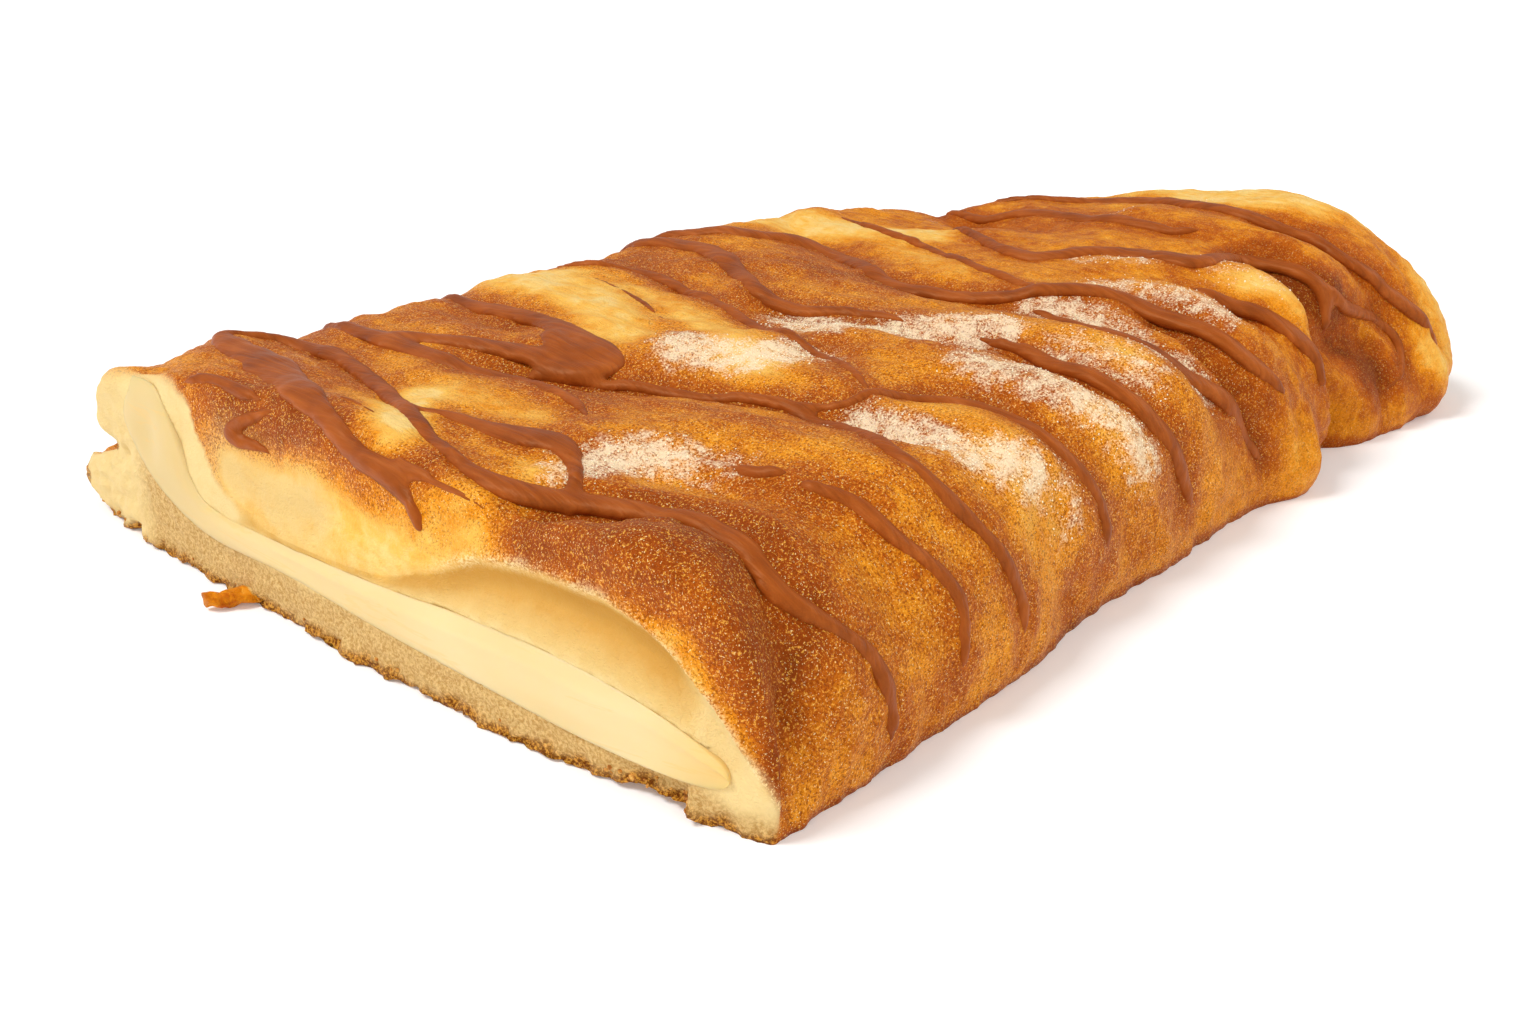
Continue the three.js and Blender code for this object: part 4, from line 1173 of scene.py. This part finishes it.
def dough_looks(surface, settled, new, on_lick):
    """What the dough's paint and what is strewn on it follow, at each place."""
    _, y, z = settled.T
    crumb = opened(settled)
    crumb[new] = 1
    crumb[on_lick] = 0
    sugar = np.zeros(len(surface))
    for amount, reach, route in SUGARED:
        sugar = np.maximum(sugar, amount * smooth(closeness(settled, route, reach * 1.3) * 1.2))
    above = surface[:, 2] - foot_lift(settled)
    foot = 1 - smooth((above - 0.6 - 1.3 * ripples(settled, 3, seed=17.0)) / 1.6)
    foot = np.maximum(foot, 0.9 * smooth((y - 70) / 3))
    flaky = np.exp(-(((z - rim_height(y)) / 0.9) ** 2)) * smooth((-18 - y) / 10)
    low_cut = (1 - smooth((above - 0.5) / 1.6)) * (1 - smooth((behind_cut(settled) - 0.8) / 0.8))
    return {
        "bake": bake_and_shade_at(settled, on_lick),
        "beige": smooth(closeness(settled, BEIGE, BEIGE_REACH)),
        "crumb": crumb,
        "sugar": sugar,
        "toasted": foot,
        "creamy": 1 - low_crumb(settled) + 0.9 * smooth((y - 46) / 8),
        "under_crust": under_rim_shade_share(settled),
        "speckle": np.where(on_lick, 0, 1 - 0.55 * smooth((surface[:, 0] + 10) / 60)),
        "flaky": flaky * (behind_cut(settled) < 3),
        "grains": sugar ** 2 * (surface[:, 2] > 12),
        "crumbs": low_cut * (surface[:, 2] > 1.4) * ~new,
    }


def build_icing(dough):
    """All lines of icing as one skin on the dough."""
    crust = BVHTree.FromObject(dough, bpy.context.evaluated_depsgraph_get())
    places, sizes = bead_places(crust)
    beads = mesh_object("icing_routes", places, [])
    put_values(beads.data, "bead", sizes * 0.001)
    icing = grow("icing", beads, icing_tree(), {
        "Voxel": 0.0006, "Smoothing": 4, "Material": icing_material()})
    bpy.data.objects.remove(beads)
    return icing


dough, *whereabouts = build_dough()
for name, values in dough_looks(*whereabouts).items():
    put_values(dough.data, name, values)
shade_smooth(dough.data)

cheese = mesh_object("cheese", *cheese_block(), cheese_material())
face_outwards(cheese.data)
shade_smooth(cheese.data)

icing = build_icing(dough)
sugar_grains = grow("sugar_grains", dough, scatter_tree("strewn_sugar", "grains"), {
    "Density": 3.5e6, "Smallest": 0.00009, "Largest": 0.0002, "Seed": 5, "Material": grain_material()})
loose_crumbs = grow("toasted_crumbs", dough, scatter_tree("strewn_crumbs", "crumbs"), {
    "Density": 1.6e6, "Smallest": 0.0002, "Largest": 0.0005, "Seed": 8, "Material": crumb_material()})

icing_nodes = sorted(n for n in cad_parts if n.startswith("icing_line"))
for piece, slot in ((dough, "baked_dough"), (cheese, "cheese"), (icing, "chocolate_icing"),
                    (sugar_grains, "baked_dough"), (loose_crumbs, "baked_dough")):
    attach(piece, "root")
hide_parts("pastry_dough")
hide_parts("cheese_filling")
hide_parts(*icing_nodes)

# ---------------------------------------------------------------- floor, light and camera

bpy.ops.mesh.primitive_plane_add(size=12)
floor = bpy.context.object
floor.name = "floor"
floor.data.materials.append(floor_material())


def soft_light(name, place, aim, size, power, colour=(1, 1, 1)):
    lamp = bpy.data.lights.new(name, "AREA")
    lamp.shape = "DISK"
    lamp.size = size
    lamp.energy = power
    lamp.color = colour
    holder = bpy.data.objects.new(name, lamp)
    holder.location = place
    holder.rotation_euler = (Vector(aim) - Vector(place)).to_track_quat("-Z", "Y").to_euler()
    bpy.context.scene.collection.objects.link(holder)


soft_light("key", (-0.9, 0.5, 1.5), (0, 0, 0), 0.7, 22)
soft_light("front_fill", (-0.3, -1.4, 0.7), (0, 0, 0), 1.2, 5)
soft_light("far_fill", (1.0, -0.7, 0.9), (0.06, -0.03, 0.02), 0.7, 5, (1, 0.9, 0.75))
soft_light("cut_fill", (-1.4, -0.3, 0.35), (0, 0, 0), 1.0, 3)

SKY_LIGHT, SKY_SEEN = 0.45, 1.0
world = bpy.data.worlds.new("studio")
world.use_nodes = True
sky = world.node_tree
sky.nodes["Background"].inputs["Color"].default_value = (1, 1, 1, 1)
# The sky lights softly, but is seen as white
seen = sky.nodes.new("ShaderNodeLightPath")
strength = sky.nodes.new("ShaderNodeMapRange")
strength.inputs["To Min"].default_value = SKY_LIGHT
strength.inputs["To Max"].default_value = SKY_SEEN
sky.links.new(seen.outputs["Is Camera Ray"], strength.inputs["Value"])
sky.links.new(strength.outputs["Result"], sky.nodes["Background"].inputs["Strength"])
bpy.context.scene.world = world
bpy.context.scene.view_settings.view_transform = "Standard"

CAMERA_PLACE = Vector(to_row((-199.4, -164.1, 101)))
CAMERA_FORWARD = Vector((0.679, 0.611, -0.407))
SENSOR_MM, LENS_MM = 36, 35.16
camera_data = bpy.data.cameras.new("camera")
camera_data.sensor_width = SENSOR_MM
camera_data.lens = LENS_MM
camera_data.clip_start = 0.01
camera = bpy.data.objects.new("camera", camera_data)
camera.location = CAMERA_PLACE
camera.rotation_euler = CAMERA_FORWARD.to_track_quat("-Z", "Y").to_euler()
bpy.context.scene.collection.objects.link(camera)
bpy.context.scene.camera = camera
